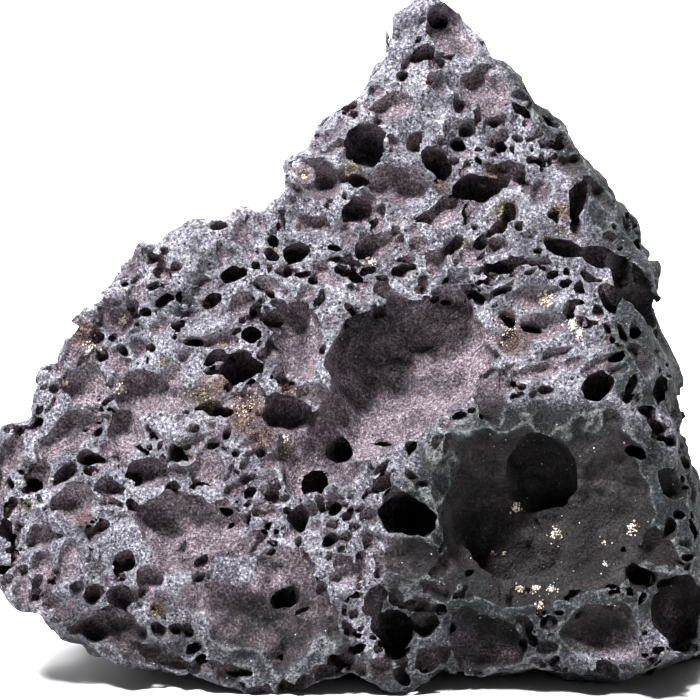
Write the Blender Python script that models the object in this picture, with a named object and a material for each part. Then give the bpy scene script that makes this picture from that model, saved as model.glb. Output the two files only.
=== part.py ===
"""A piece of vesicular volcanic rock: one solid, broken out of a lava flow and full of burst gas bubbles.

Lengths are millimetres until a mesh is made. +Z is up, the rock stands on its flattened underside at z = 0,
and its origin is the middle of that footprint. The broken front face looks towards -Y.

The front is described on a drawing plane, as a surveyor would sketch it: a point is so far ACROSS from the
drawing's left edge and so far UP from its lower edge, and it is carried on to the rock along the sight line
from the EYE. The drawing plane stands upright to the middle sight line and goes through PIVOT.
"""

import math
import random

import bmesh
import bpy
import numpy as np
from mathutils import Euler, Matrix, Vector
from mathutils.bvhtree import BVHTree

MM = 0.001

# The eye that the front is drawn from
DRAWING_SIZE = 140.0
EYE_DISTANCE = 750.0
EYE_PITCH = math.radians(10.0)
PIVOT = Vector((-1.5, -1.3, 61.0))
RIGHT = Vector((1.0, 0.0, 0.0))
FORWARD = Vector((0.0, math.cos(EYE_PITCH), -math.sin(EYE_PITCH)))
UPWARD = Vector((0.0, math.sin(EYE_PITCH), math.cos(EYE_PITCH)))
EYE = PIVOT - FORWARD * EYE_DISTANCE

# The rock's edge, clockwise from the peak: across, up, and how far behind the drawing plane it lies
CENTRE = (75.0, 45.0)
EDGE = (
    (87.0, 139.8, -14), (91.8, 137.3, -12), (95.4, 132.4, -10), (99.0, 127.5, -6), (103.9, 123.0, -3),
    (107.0, 119.4, 0), (110.2, 116.6, 2), (115.5, 112.4, 4), (118.2, 108.4, 5), (120.9, 104.5, 6),
    (123.6, 102.5, 7), (125.6, 100.3, 7), (128.0, 94.9, 8), (132.3, 86.9, 10), (132.0, 80.2, 11),
    (131.0, 78.4, 12), (134.2, 70.0, 13), (137.0, 65.1, 13), (136.2, 60.0, 13), (137.0, 54.4, 12),
    (138.3, 46.8, 12), (140.2, 40.6, 10), (142.4, 32.0, 8), (143.0, 21.0, 4), (140.6, 9.2, -4),
    (134.2, 7.0, -8), (129.4, 4.8, -12), (121.0, 4.6, -12), (113.0, 4.0, -13), (107.5, 5.8, -10),
    (100.4, 5.0, -11), (94.0, 5.6, -10), (88.6, 6.0, -14), (84.0, 2.8, -28), (81.6, 0.4, -34),
    (77.0, 3.0, -32), (72.0, 5.2, -26), (64.7, 5.0, -24), (59.4, 2.8, -30), (53.0, 0.5, -33),
    (46.4, 3.0, -30), (41.0, 4.6, -29), (34.8, 5.8, -28), (26.8, 7.0, -27), (19.6, 9.0, -27),
    (13.0, 12.4, -27), (8.9, 17.0, -27), (1.8, 20.5, -27), (-1.6, 24.5, -28), (-3.2, 34.0, -29),
    (-2.4, 45.0, -29), (1.0, 55.0, -29), (5.8, 57.2, -28), (6.0, 63.0, -28), (7.4, 66.0, -28),
    (12.0, 67.2, -27), (12.6, 69.8, -27), (13.6, 74.5, -27), (16.8, 79.0, -26), (21.4, 83.8, -26),
    (25.0, 87.6, -25), (28.0, 90.6, -25), (30.8, 90.6, -24), (33.4, 92.0, -24), (38.4, 96.8, -23),
    (43.8, 96.2, -23), (47.6, 98.0, -22), (52.8, 97.5, -22), (57.2, 102.0, -21), (57.0, 106.8, -21),
    (60.0, 109.7, -20), (65.6, 115.4, -19), (70.8, 119.6, -18), (74.9, 124.8, -17), (78.0, 129.4, -16),
    (77.2, 134.6, -15), (80.2, 137.0, -15), (83.6, 139.0, -14),
)

# How the edge shrinks towards CENTRE in front of itself and behind: distance, share of its size
TAPER = ((-80, 0.80), (-40, 0.95), (-20, 0.985), (0, 1.0), (12, 0.97), (30, 0.88), (50, 0.74), (70, 0.55), (90, 0.3))
CROSSING_RINGS = 24

# Fracture planes that the block was broken along: a point on each, and the way it faces
FRACTURES = {
    "front, left of the crease": ((-10, -42.4, 30), (-0.12, -0.93, 0.35)),
    "front, right of the crease": ((-10, -42.4, 30), (0.07, -0.93, 0.35)),
    "under the front ridge": ((-10, -43.4, 27), (-0.05, -0.975, -0.21)),
    "upper right flank": ((45, -15.4, 91), (0.785, -0.212, 0.583)),
    "lower right flank": ((61, -6.4, 57), (0.966, -0.12, 0.23)),
    "back": ((0, 44.6, 20), (0.10, 0.94, 0.30)),
    "back, left": ((-40, 22.6, 30), (-0.55, 0.78, 0.30)),
    "back, right": ((50, 24.6, 30), (0.62, 0.74, 0.26)),
    "foot of the back": ((0, 42.6, 10), (0.05, 0.86, -0.50)),
}

# Swells and dips of the broken surfaces, along the sight lines: wavelength, height
SWELLS = ((46.0, 1.5), (27.0, 1.2), (15.0, 0.8), (9.0, 0.5))
WAVES_PER_SWELL = 5

# Great hollows, each a burst group of bubbles. Mouth: distance from the middle at equal turns, anticlockwise
# from the right. Then depth, and how far the widest part lies behind the mouth, as a share of the depth.
HOLLOWS = {
    "great hollow": ((82.5, 66.0), (15.5, 17.0, 16.0, 13.0, 13.5, 16.5, 17.0, 16.0, 15.5, 14.0, 12.5, 13.5), 13.0, 0.0),
    "great hollow, floor": ((73.0, 55.0), (12.0, 11.0, 12.0, 12.0, 10.0, 9.5, 11.0, 10.0, 8.0, 7.0, 7.5, 10.0), 11.0, 0.0),
    "great hollow, foot": ((62.5, 48.5), (9.0, 9.0, 9.0, 8.0, 8.0, 8.0, 8.0, 8.5, 9.0, 8.0, 7.5, 8.0), 10.0, 0.1),
    "bowl beside the great hollow": ((59.5, 69.5), (5.8, 6.2, 7.5, 8.2, 7.0, 6.2, 6.6, 5.0, 5.0, 7.5, 8.0, 6.5), 6.0, 0.0),
    "lower right hollow": ((107.0, 37.0), (26.0, 20.0, 18.5, 19.5, 19.0, 18.0, 18.5, 19.5, 21.0, 17.0, 17.5, 23.0), 14.0, 0.0),
    "smooth lower left": ((53.0, 19.0), (15.5, 17.0, 15.0, 10.0, 11.0, 12.0, 13.0, 15.0, 15.0, 17.0, 15.0, 14.0), 3.2, -0.4),
    "big left bowl": ((38.2, 33.8), (11.4, 9.0, 7.0, 6.6, 8.2, 10.8, 11.0, 10.0, 8.4, 7.4, 7.4, 8.4), 5.5, 0.0),
    "flank gully": ((126.6, 57.5), (4.4, 4.2, 5.4, 9.0, 10.4, 5.4, 4.4, 4.2, 5.4, 9.0, 10.4, 5.4), 12.0, 0.1),
}

# Bubbles of the front: across, up, half length, half width, turn of the length from level in degrees
DEEP_BUBBLES = (
    (74.0, 111.0, 3.6, 3.0, -40), (86.3, 107.6, 3.4, 2.5, -50), (63.6, 104.2, 4.9, 3.6, -15), (94.4, 102.0, 4.3, 2.6, 10),
    (118.0, 91.3, 7.4, 3.0, -18), (108.4, 45.0, 7.4, 7.8, 0), (79.4, 14.8, 4.2, 4.6, 0), (76.2, 21.0, 2.6, 3.4, 0),
    (135.4, 17.0, 4.6, 6.4, 0), (119.8, 61.9, 2.5, 2.9, 0), (129.0, 24.0, 2.3, 2.5, 0), (46.0, 85.0, 3.1, 1.8, 10),
    (49.0, 66.0, 3.4, 3.0, 0), (57.4, 56.8, 4.6, 3.3, -45), (68.8, 49.6, 2.8, 2.5, 0), (62.6, 42.0, 3.0, 2.0, 10),
    (56.4, 21.2, 2.1, 2.1, 0), (60.2, 36.2, 2.2, 2.0, 0), (24.4, 20.6, 2.8, 2.1, 20), (33.4, 81.2, 2.4, 1.6, 15),
    (71.2, 98.4, 2.8, 1.8, 20), (121.6, 80.4, 2.7, 3.3, 0), (81.8, 37.4, 5.2, 3.4, 0), (31.7, 85.6, 1.6, 1.6, 0),
    (77.4, 42.4, 1.9, 1.3, 10), (35.2, 50.0, 1.6, 1.6, 0), (40.0, 9.6, 1.6, 1.4, 0),
)
BOWL_BUBBLES = (
    (82.2, 132.2, 2.1, 1.8, 0), (90.5, 133.0, 5.6, 4.0, -45), (79.8, 118.8, 4.7, 2.9, 8), (98.8, 120.8, 4.4, 3.3, -60),
    (79.0, 103.4, 5.5, 3.5, 0), (86.6, 98.0, 5.4, 1.9, 20), (95.0, 122.4, 1.8, 1.8, 0), (68.4, 111.0, 1.9, 1.8, 0),
    (93.0, 110.8, 2.2, 1.8, 0), (104.4, 104.8, 2.1, 2.1, 0), (113.8, 107.8, 3.2, 2.8, -30), (108.8, 101.6, 4.0, 2.3, 20),
    (116.4, 99.0, 2.9, 1.7, -60), (106.6, 95.4, 3.6, 1.5, -5), (75.6, 91.4, 3.9, 3.0, 20), (82.0, 92.4, 2.0, 1.8, 0),
    (85.4, 89.6, 2.8, 2.4, 60), (93.0, 91.2, 2.5, 2.5, 0), (99.4, 92.7, 2.6, 1.9, 0), (99.6, 87.4, 2.6, 1.8, 10),
    (91.8, 85.8, 2.4, 2.0, 0), (98.8, 84.2, 1.9, 1.3, -10), (107.5, 80.2, 4.9, 2.7, 15), (108.4, 74.8, 5.4, 2.0, 15),
    (62.0, 95.4, 4.2, 1.9, -5), (47.8, 92.6, 2.3, 2.4, 0), (60.0, 89.0, 3.0, 1.7, 15), (37.6, 89.6, 3.1, 2.9, 0),
    (27.2, 81.4, 2.5, 1.9, -15), (22.4, 76.3, 3.7, 3.6, 0), (31.8, 76.0, 2.9, 2.2, 25), (37.7, 77.6, 2.1, 1.6, 50),
    (46.6, 78.4, 2.6, 2.1, 10), (44.0, 72.2, 3.1, 2.1, 0), (16.2, 62.9, 4.3, 4.1, 0), (28.8, 61.9, 6.3, 4.6, -5),
    (13.8, 52.8, 6.6, 4.2, 35), (3.0, 49.6, 5.4, 2.7, 80), (15.0, 37.4, 4.9, 4.1, 20), (28.6, 45.4, 4.4, 3.9, 0),
    (21.6, 41.2, 2.9, 2.3, -20), (40.8, 47.2, 3.5, 3.4, 0), (8.4, 26.7, 2.7, 2.8, 0), (14.7, 27.6, 2.9, 3.1, 0),
    (22.3, 30.3, 3.0, 2.0, 60), (26.6, 26.5, 2.1, 1.7, 0), (27.6, 69.9, 1.9, 2.4, 0), (82.0, 29.2, 5.0, 3.0, 15),
    (98.4, 13.4, 6.8, 8.0, 0), (119.8, 11.0, 8.2, 6.8, -25), (132.6, 31.2, 3.5, 3.8, 0), (99.0, 60.6, 2.9, 3.5, -20),
    (108.4, 67.4, 5.0, 2.0, 15), (52.0, 62.0, 2.0, 1.4, 0), (47.8, 30.4, 3.9, 1.8, 30), (29.0, 10.4, 7.4, 2.6, -18),
    (64.2, 85.2, 2.9, 2.8, 0), (98.6, 52.6, 2.2, 2.2, 0), (93.4, 52.4, 2.4, 2.4, 0), (129.6, 90.4, 4.2, 2.0, -50),
    (132.4, 61.0, 1.8, 3.0, 0), (60.0, 80.2, 2.7, 2.7, 0), (20.8, 55.0, 1.4, 1.8, 0), (24.6, 55.4, 3.6, 4.6, 0),
)
DEEP_SINK, DEEP_DEPTH = 0.55, 1.5
BOWL_SINK, BOWL_DEPTH = 0.10, 0.85

# Bubbles of the sides, top and back, scattered by a rule
SCATTER_SEED = 11
SCATTER_COUNT = 78
SCATTER_RADIUS = (3.0, 9.5)
SCATTER_SINK = (-0.35, 0.35)
SCATTER_REACH = 50.0
SCATTER_CORE = Vector((2.0, 4.0, 48.0))
FRONT_CONE = math.cos(math.radians(62.0))
LOWEST_WAY = -0.62

# Fineness of the solid
VOXEL = 2.3
FINE_VOXEL = 1.1
TRIANGLES = 9400

# The flattened underside that it stands on
UNDERSIDE_Z = 0.0


def clear_scene():
    for old in list(bpy.data.objects):
        bpy.data.objects.remove(old)


def on_sight_line(across, up, behind):
    """The point on the sight line through (across, up) that lies so far behind the drawing plane."""
    half = DRAWING_SIZE / 2
    drawn = PIVOT + RIGHT * (across - half) + UPWARD * (up - half)
    return EYE + (drawn - EYE) * (1 + behind / EYE_DISTANCE)


def ring_radius(turn, distances):
    """Distance from the middle at an angle, between the distances given at equal turns."""
    turns = np.arange(len(distances)) * (2 * math.pi / len(distances))
    return float(np.interp(turn, turns, distances, period=2 * math.pi))


def swell(point):
    """Sum of slow sine waves that run in directions a golden angle apart, in millimetres."""
    height = 0.0
    step = 0
    for wavelength, amplitude in SWELLS:
        for _ in range(WAVES_PER_SWELL):
            step += 1
            rise = 1 - 2 * ((step * 0.618034) % 1.0)
            flat = math.sqrt(1 - rise * rise)
            way = Vector((flat * math.cos(2.399963 * step), flat * math.sin(2.399963 * step), rise))
            height += amplitude / math.sqrt(WAVES_PER_SWELL) * math.sin(2 * math.pi * point.dot(way) / wavelength + step)
    return height


def lofted_block():
    """The edge carried forwards and backwards along the sight lines, shrinking as TAPER says."""
    bm = bmesh.new()
    distances = [d for d, _ in TAPER]
    shares = [s for _, s in TAPER]
    rings = []
    for step in range(CROSSING_RINGS + 1):
        offset = distances[0] + (distances[-1] - distances[0]) * step / CROSSING_RINGS
        share = float(np.interp(offset, distances, shares))
        ring = []
        for across, up, behind in EDGE:
            point = on_sight_line(
                CENTRE[0] + (across - CENTRE[0]) * share,
                CENTRE[1] + (up - CENTRE[1]) * share,
                behind + offset,
            )
            ring.append(bm.verts.new(point))
        rings.append(ring)
    for near, far in zip(rings, rings[1:]):
        for i in range(len(EDGE)):
            j = (i + 1) % len(EDGE)
            bm.faces.new((near[i], near[j], far[j], far[i]))
    bm.faces.new(reversed(rings[0]))
    bm.faces.new(rings[-1])
    bmesh.ops.recalc_face_normals(bm, faces=bm.faces)
    return bm


def break_along(bm, point, facing):
    """Cuts off what lies beyond a plane and closes the cut."""
    found = bmesh.ops.bisect_plane(
        bm, geom=bm.verts[:] + bm.edges[:] + bm.faces[:], dist=1e-4, plane_co=point, plane_no=facing, clear_outer=True
    )
    edges = [item for item in found["geom_cut"] if isinstance(item, bmesh.types.BMEdge)]
    if edges:
        bmesh.ops.holes_fill(bm, edges=edges)


def new_object(name, bm):
    """Turns millimetres to metres and links the mesh to the scene."""
    bmesh.ops.scale(bm, vec=(MM, MM, MM), verts=bm.verts)
    mesh = bpy.data.meshes.new(name)
    bm.to_mesh(mesh)
    bm.free()
    obj = bpy.data.objects.new(name, mesh)
    bpy.context.scene.collection.objects.link(obj)
    return obj


def apply_modifiers(obj):
    """Makes the object's mesh what its modifiers show."""
    graph = bpy.context.evaluated_depsgraph_get()
    mesh = bpy.data.meshes.new_from_object(obj.evaluated_get(graph))
    obj.modifiers.clear()
    obj.data = mesh


def even_out(obj, voxel):
    remesh = obj.modifiers.new("even faces", "REMESH")
    remesh.mode = "VOXEL"
    remesh.voxel_size = voxel * MM
    apply_modifiers(obj)


def swell_surface(obj):
    """Moves each vertex along its sight line by the swell there, so the outline stays where it is."""
    for vertex in obj.data.vertices:
        point = vertex.co / MM
        vertex.co = (point + (point - EYE).normalized() * swell(point)) * MM


def tree_of(obj):
    return BVHTree.FromPolygons([v.co / MM for v in obj.data.vertices], [p.vertices[:] for p in obj.data.polygons])


def hollow_cutter(bm, tree, middle, mouth, depth, sink):
    """A dome with an uneven mouth, pressed into the face: the rings of the mouth shrink as they go deeper."""
    sides, rings = 28, 7
    across, up = middle
    drawn = on_sight_line(across, up, 0)
    hit = tree.ray_cast(EYE, (drawn - EYE).normalized())[0]
    surface = (hit - EYE).dot(FORWARD) - EYE_DISTANCE
    wall = []
    for ring in range(-rings + 1, rings):
        slope = math.pi / 2 * ring / rings
        loop = []
        for side in range(sides):
            turn = 2 * math.pi * side / sides
            radius = ring_radius(turn, mouth) * math.cos(slope)
            loop.append(
                bm.verts.new(
                    on_sight_line(
                        across + radius * math.cos(turn),
                        up + radius * math.sin(turn),
                        surface + depth * (sink + math.sin(slope)),
                    )
                )
            )
        wall.append(loop)
    top = bm.verts.new(on_sight_line(across, up, surface + depth * (sink - 1)))
    deep = bm.verts.new(on_sight_line(across, up, surface + depth * (sink + 1)))
    for i in range(sides):
        j = (i + 1) % sides
        bm.faces.new((wall[0][j], wall[0][i], top))
        bm.faces.new((wall[-1][i], wall[-1][j], deep))
        for near, far in zip(wall, wall[1:]):
            bm.faces.new((near[i], near[j], far[j], far[i]))


def bubble_cutter(bm, centre, axes, turn):
    """An egg of gas: a ball stretched along its three axes and placed by a rotation matrix."""
    fineness = 3 if max(axes) > 4.0 else 2
    place = Matrix.Translation(centre) @ turn.to_4x4() @ Matrix.Diagonal((*axes, 1.0))
    bmesh.ops.create_icosphere(bm, subdivisions=fineness, radius=1.0, matrix=place)


def front_bubbles(bm, tree, bubbles, sink, depth):
    """Bubbles drawn on the front, each set on its sight line, behind or before the surface by its sink."""
    for across, up, length, width, turn in bubbles:
        sight = (on_sight_line(across, up, 0) - EYE).normalized()
        hit = tree.ray_cast(EYE, sight)[0]
        if hit is None:
            continue
        grown = 1 / math.sqrt(1 - sink * sink)
        reach = depth * math.sqrt(length * width) * grown
        frame = Matrix((RIGHT, FORWARD, UPWARD)).transposed()
        spin = Matrix.Rotation(math.radians(-turn), 3, "Y")
        bubble_cutter(bm, hit + sight * reach * sink, (length * grown, reach, width * grown), frame @ spin)


def scattered_bubbles(bm, tree):
    """Bubbles of the faces that the drawing doesn't show, kept apart by the angle between them at the core."""
    chance = random.Random(SCATTER_SEED)
    placed = []
    while len(placed) < SCATTER_COUNT:
        way = Vector([chance.gauss(0, 1) for _ in range(3)]).normalized()
        size = SCATTER_RADIUS[0] + (SCATTER_RADIUS[1] - SCATTER_RADIUS[0]) * chance.random() ** 2.2
        stretch = 1 + 0.7 * chance.random()
        sink = chance.uniform(*SCATTER_SINK)
        turn = Euler([chance.uniform(0, math.pi) for _ in range(3)]).to_matrix()
        if way.dot(-FORWARD) > FRONT_CONE or way.z < LOWEST_WAY:
            continue
        if any(way.angle(other) * SCATTER_REACH < size + its_size for other, its_size in placed):
            continue
        placed.append((way, size))
        hit = tree.ray_cast(SCATTER_CORE + way * 200, -way)[0]
        bubble_cutter(bm, hit - way * size * sink, (size * stretch, size, size * 0.9), turn)


def carve(obj, cutter_mesh, name):
    """Takes the cutter's shapes out of the rock."""
    cutter = new_object(name, cutter_mesh)
    cutter.hide_render = True
    cutter.display_type = "WIRE"
    cut = obj.modifiers.new(name, "BOOLEAN")
    cut.operation = "DIFFERENCE"
    cut.solver = "EXACT"
    cut.use_self = True
    cut.object = cutter
    apply_modifiers(obj)
    bpy.data.objects.remove(cutter)


def keep_largest_body(obj):
    """Drops chips that the bubbles have cut free, also those that still touch the rock at a point or an edge."""
    bm = bmesh.new()
    bm.from_mesh(obj.data)
    unseen = set(bm.faces)
    bodies = []
    while unseen:
        body = []
        front = [unseen.pop()]
        while front:
            face = front.pop()
            body.append(face)
            for edge in face.edges:
                for other in edge.link_faces:
                    if other in unseen and len(edge.link_faces) == 2:
                        unseen.remove(other)
                        front.append(other)
        bodies.append(body)
    bodies.sort(key=len)
    for body in bodies[:-1]:
        bmesh.ops.delete(bm, geom=body, context="FACES")
    bm.to_mesh(obj.data)
    bm.free()


def thin_out(obj, triangles):
    """Brings the solid to its number of triangles, keeping them where the surface bends."""
    found = sum(len(p.vertices) - 2 for p in obj.data.polygons)
    if found > triangles:
        fewer = obj.modifiers.new("fewer faces", "DECIMATE")
        fewer.ratio = triangles / found
        fewer.use_collapse_triangulate = True
        apply_modifiers(obj)


def flatten_underside(obj):
    """Cuts away what lies below the level that the rock stands on."""
    slab = bmesh.new()
    bmesh.ops.create_cube(slab, size=300, matrix=Matrix.Translation((0, 0, UNDERSIDE_Z - 150)))
    carve(obj, slab, "below the underside")


def centre_footprint(obj):
    """Sets the middle of the rock's box over the origin."""
    across = [v.co.x for v in obj.data.vertices]
    back = [v.co.y for v in obj.data.vertices]
    middle = Vector(((min(across) + max(across)) / 2, (min(back) + max(back)) / 2, 0.0))
    obj.data.transform(Matrix.Translation(-middle))


def basalt():
    material = bpy.data.materials.new("basalt")
    material.use_nodes = True
    shader = material.node_tree.nodes["Principled BSDF"]
    shader.inputs["Base Color"].default_value = (0.16, 0.15, 0.165, 1.0)
    shader.inputs["Roughness"].default_value = 0.92
    shader.inputs["Metallic"].default_value = 0.0
    return material


def rock():
    block = lofted_block()
    for point, facing in FRACTURES.values():
        break_along(block, point, facing)
    bmesh.ops.triangulate(block, faces=block.faces)
    solid = new_object("rock", block)
    even_out(solid, VOXEL)
    swell_surface(solid)

    hollows = bmesh.new()
    tree = tree_of(solid)
    for middle, mouth, depth, sink in HOLLOWS.values():
        hollow_cutter(hollows, tree, middle, mouth, depth, sink)
    bmesh.ops.recalc_face_normals(hollows, faces=hollows.faces)
    carve(solid, hollows, "hollows")

    bubbles = bmesh.new()
    tree = tree_of(solid)
    front_bubbles(bubbles, tree, DEEP_BUBBLES, DEEP_SINK, DEEP_DEPTH)
    front_bubbles(bubbles, tree, BOWL_BUBBLES, BOWL_SINK, BOWL_DEPTH)
    scattered_bubbles(bubbles, tree)
    carve(solid, bubbles, "bubbles")

    even_out(solid, FINE_VOXEL)
    keep_largest_body(solid)
    thin_out(solid, TRIANGLES)
    flatten_underside(solid)
    keep_largest_body(solid)
    centre_footprint(solid)
    solid.data.materials.clear()
    solid.data.materials.append(basalt())
    return solid


clear_scene()
rock()
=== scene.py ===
"""A hand-sized piece of volcanic rock: grey lava that froze full of gas bubbles and was then broken.

Lengths are millimetres until a mesh is made. +Z is up and the broken front looks towards -Y.
"""

import itertools
import math
import random

import bpy
import numpy as np
from mathutils import Euler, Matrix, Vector
from mathutils.bvhtree import BVHTree


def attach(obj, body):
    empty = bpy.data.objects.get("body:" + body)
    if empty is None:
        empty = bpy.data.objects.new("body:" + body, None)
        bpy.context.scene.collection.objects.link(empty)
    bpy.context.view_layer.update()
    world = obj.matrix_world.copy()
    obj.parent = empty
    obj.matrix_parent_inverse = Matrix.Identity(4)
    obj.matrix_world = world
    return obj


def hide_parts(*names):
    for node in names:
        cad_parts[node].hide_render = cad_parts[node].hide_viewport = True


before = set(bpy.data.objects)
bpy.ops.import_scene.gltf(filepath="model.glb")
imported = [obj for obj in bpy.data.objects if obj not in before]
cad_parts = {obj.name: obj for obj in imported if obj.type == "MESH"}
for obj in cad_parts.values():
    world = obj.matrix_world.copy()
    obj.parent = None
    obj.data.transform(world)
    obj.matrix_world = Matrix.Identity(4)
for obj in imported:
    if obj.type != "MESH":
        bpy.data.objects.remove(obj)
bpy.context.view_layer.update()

MM = 0.001

# The eye
# The rock is described as it is seen from in front: a point lies so far ACROSS and UP on a drawing plane that
# stands upright to the middle sight line, and so far behind that plane. The camera stands at the same eye.
DRAWING_SIZE = 140.0
EYE_DISTANCE = 750.0
EYE_PITCH = math.radians(10.0)
PIVOT = np.array((-1.5, -1.3, 61.0))
RIGHT = np.array((1.0, 0.0, 0.0))
FORWARD = np.array((0.0, math.cos(EYE_PITCH), -math.sin(EYE_PITCH)))
UPWARD = np.array((0.0, math.sin(EYE_PITCH), math.cos(EYE_PITCH)))
EYE = PIVOT - FORWARD * EYE_DISTANCE
SENSOR = 36.0


def rock_place(across, up, behind):
    """X, Y, Z of drawn points: the eye plus (1 + behind / distance) times the way from eye to plane."""
    half = DRAWING_SIZE / 2
    nearness = (1 + np.asarray(behind, float) / EYE_DISTANCE)[..., None]
    right_part = (np.asarray(across, float) - half)[..., None] * RIGHT
    up_part = (np.asarray(up, float) - half)[..., None] * UPWARD
    return EYE + (FORWARD * EYE_DISTANCE + (right_part + up_part)) * nearness


def drawn_place(points):
    """Across, up and behind of X, Y, Z points: the way back from rock_place."""
    half = DRAWING_SIZE / 2
    way = np.asarray(points, float) - EYE
    nearness = way @ FORWARD / EYE_DISTANCE
    return way @ RIGHT / nearness + half, way @ UPWARD / nearness + half, (nearness - 1) * EYE_DISTANCE


lens = bpy.data.cameras.new("eye")
lens.sensor_width = SENSOR
lens.lens = SENSOR * EYE_DISTANCE / DRAWING_SIZE
lens.clip_end = 20.0
eye = bpy.data.objects.new("eye", lens)
bpy.context.scene.collection.objects.link(eye)
eye.location = EYE * MM
eye.rotation_euler = Vector(FORWARD).to_track_quat("-Z", "Y").to_euler()
bpy.context.scene.camera = eye

# The block
# A lump of lava broken along rough planes: a front face that leans back, a flank to the right of it, and
# faces behind. It is held as a field on a lattice of drawn points, negative inside the rock, because bubbles
# that overlap and undercut one another can't be a function of two parameters.
LATTICE_STEP = 0.45
FAR_STEP = 0.9
FAR_FROM = 8.0
ACROSS = np.arange(-6.0, 147.0, LATTICE_STEP)
UP = np.arange(-4.0, 143.0, LATTICE_STEP)
BEHIND = np.concatenate((np.arange(-54.0, FAR_FROM, LATTICE_STEP), np.arange(FAR_FROM, 62.0, FAR_STEP)))

# The rock's edge, clockwise from the peak: across, up, and how far behind the drawing plane it lies
CENTRE = (75.0, 45.0)
EDGE = (
    (87.0, 139.8, -14), (91.8, 137.3, -12), (95.4, 132.4, -10), (99.0, 127.5, -6), (103.9, 123.0, -3),
    (107.0, 119.4, 0), (110.2, 116.6, 2), (115.5, 112.4, 4), (118.2, 108.4, 5), (120.9, 104.5, 6),
    (123.6, 102.5, 7), (125.6, 100.3, 7), (128.0, 94.9, 8), (132.3, 86.9, 10), (132.0, 80.2, 11),
    (131.0, 78.4, 12), (134.2, 70.0, 13), (137.0, 65.1, 13), (136.2, 60.0, 13), (137.0, 54.4, 12),
    (138.3, 46.8, 12), (140.2, 40.6, 10), (142.4, 32.0, 8), (143.0, 21.0, 4), (140.6, 9.2, -4),
    (134.2, 7.0, -8), (129.4, 4.8, -12), (121.0, 4.6, -12), (113.0, 4.0, -13), (107.5, 5.8, -10),
    (100.4, 5.0, -11), (94.0, 5.6, -10), (88.6, 6.0, -14), (84.0, 2.8, -28), (81.6, 0.4, -34),
    (77.0, 3.0, -32), (72.0, 5.2, -26), (64.7, 5.0, -24), (59.4, 2.8, -30), (53.0, 0.5, -33),
    (46.4, 3.0, -30), (41.0, 4.6, -29), (34.8, 5.8, -28), (26.8, 7.0, -27), (19.6, 9.0, -27),
    (13.0, 12.4, -27), (8.9, 17.0, -27), (1.8, 20.5, -27), (-1.6, 24.5, -28), (-3.2, 34.0, -29),
    (-2.4, 45.0, -29), (1.0, 55.0, -29), (5.8, 57.2, -28), (6.0, 63.0, -28), (7.4, 66.0, -28),
    (12.0, 67.2, -27), (12.6, 69.8, -27), (13.6, 74.5, -27), (16.8, 79.0, -26), (21.4, 83.8, -26),
    (25.0, 87.6, -25), (28.0, 90.6, -25), (30.8, 90.6, -24), (33.4, 92.0, -24), (38.4, 96.8, -23),
    (43.8, 96.2, -23), (47.6, 98.0, -22), (52.8, 97.5, -22), (57.2, 102.0, -21), (57.0, 106.8, -21),
    (60.0, 109.7, -20), (65.6, 115.4, -19), (70.8, 119.6, -18), (74.9, 124.8, -17), (78.0, 129.4, -16),
    (77.2, 134.6, -15), (80.2, 137.0, -15), (83.6, 139.0, -14),
)

# How much of the edge's reach is left at each depth in front of the edge, which is negative, and behind it
TAPER = (
    (-80, 0.80), (-40, 0.95), (-20, 0.985), (0, 1.0), (10, 1.0), (20, 0.96), (34, 0.87), (50, 0.75),
    (70, 0.55), (90, 0.3),
)
EDGE_PARTS = 16
STEEPEST_LEAN = 2.0

# The planes that the block was broken along: a point on each in X, Y, Z, and the way it faces
FRACTURES = {
    "front, left of the crease": ((-10, -42.4, 30), (-0.12, -0.93, 0.35)),
    "front, right of the crease": ((-10, -42.4, 30), (0.07, -0.93, 0.35)),
    "under the front ridge": ((-10, -43.4, 27), (-0.05, -0.975, -0.21)),
    "upper right flank": ((47.5, -15.4, 92.6), (0.785, -0.212, 0.583)),
    "lower right flank": ((63.6, -6.4, 57), (0.966, -0.12, 0.23)),
    "back": ((0, 44.6, 20), (0.10, 0.94, 0.30)),
    "back, left": ((-40, 22.6, 30), (-0.55, 0.78, 0.30)),
    "back, right": ((50, 24.6, 30), (0.62, 0.74, 0.26)),
    "foot of the back": ((0, 42.6, 10), (0.05, 0.86, -0.50)),
}
UNDERSIDE_Z = 0.0
EDGE_ROUNDING = 1.2

# Swells and dips of the broken faces, along the sight lines: wavelength, height
SWELLS = ((46.0, 1.5), (27.0, 1.2), (15.0, 0.8), (9.0, 0.5))
WAVES_PER_SWELL = 5
GOLDEN_SHARE = 0.618034
GOLDEN_ANGLE = 2.399963

# Crumbling of the broken faces: spacing of the lumps, their height
CRUMBLE = ((5.0, 0.50), (2.3, 0.32), (1.2, 0.15))
CRUMBLE_SEED = 40


def spline_weights(places, spacing):
    """Share of each coarse number at each place: the four cubic B-spline weights of the place's fraction."""
    steps = (places - places[0]) / spacing + 1.0
    low = np.floor(steps).astype(int)
    f = steps - low
    inner = (3 * f**3 - 6 * f**2 + 4) / 6, (-3 * f**3 + 3 * f**2 + 3 * f + 1) / 6
    shares = ((1 - f) ** 3 / 6, *inner, f**3 / 6)
    weights = np.zeros((len(places), low.max() + 3), np.float32)
    for offset, share in zip((-1, 0, 1, 2), shares):
        weights[np.arange(len(places)), low + offset] += share
    return weights


def crumple(spacing, seed):
    """Smooth chance values on the lattice, mean 0 and spread 1: coarse chance numbers by spline weights."""
    by_axis = [spline_weights(places, spacing) for places in (BEHIND, UP, ACROSS)]
    field = np.random.default_rng(seed).standard_normal([w.shape[1] for w in by_axis]).astype(np.float32)
    for axis, weights in enumerate(by_axis):
        field = np.moveaxis(np.tensordot(weights, field, (1, axis)), 0, axis)
    return np.ascontiguousarray(field / field.std())


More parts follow.
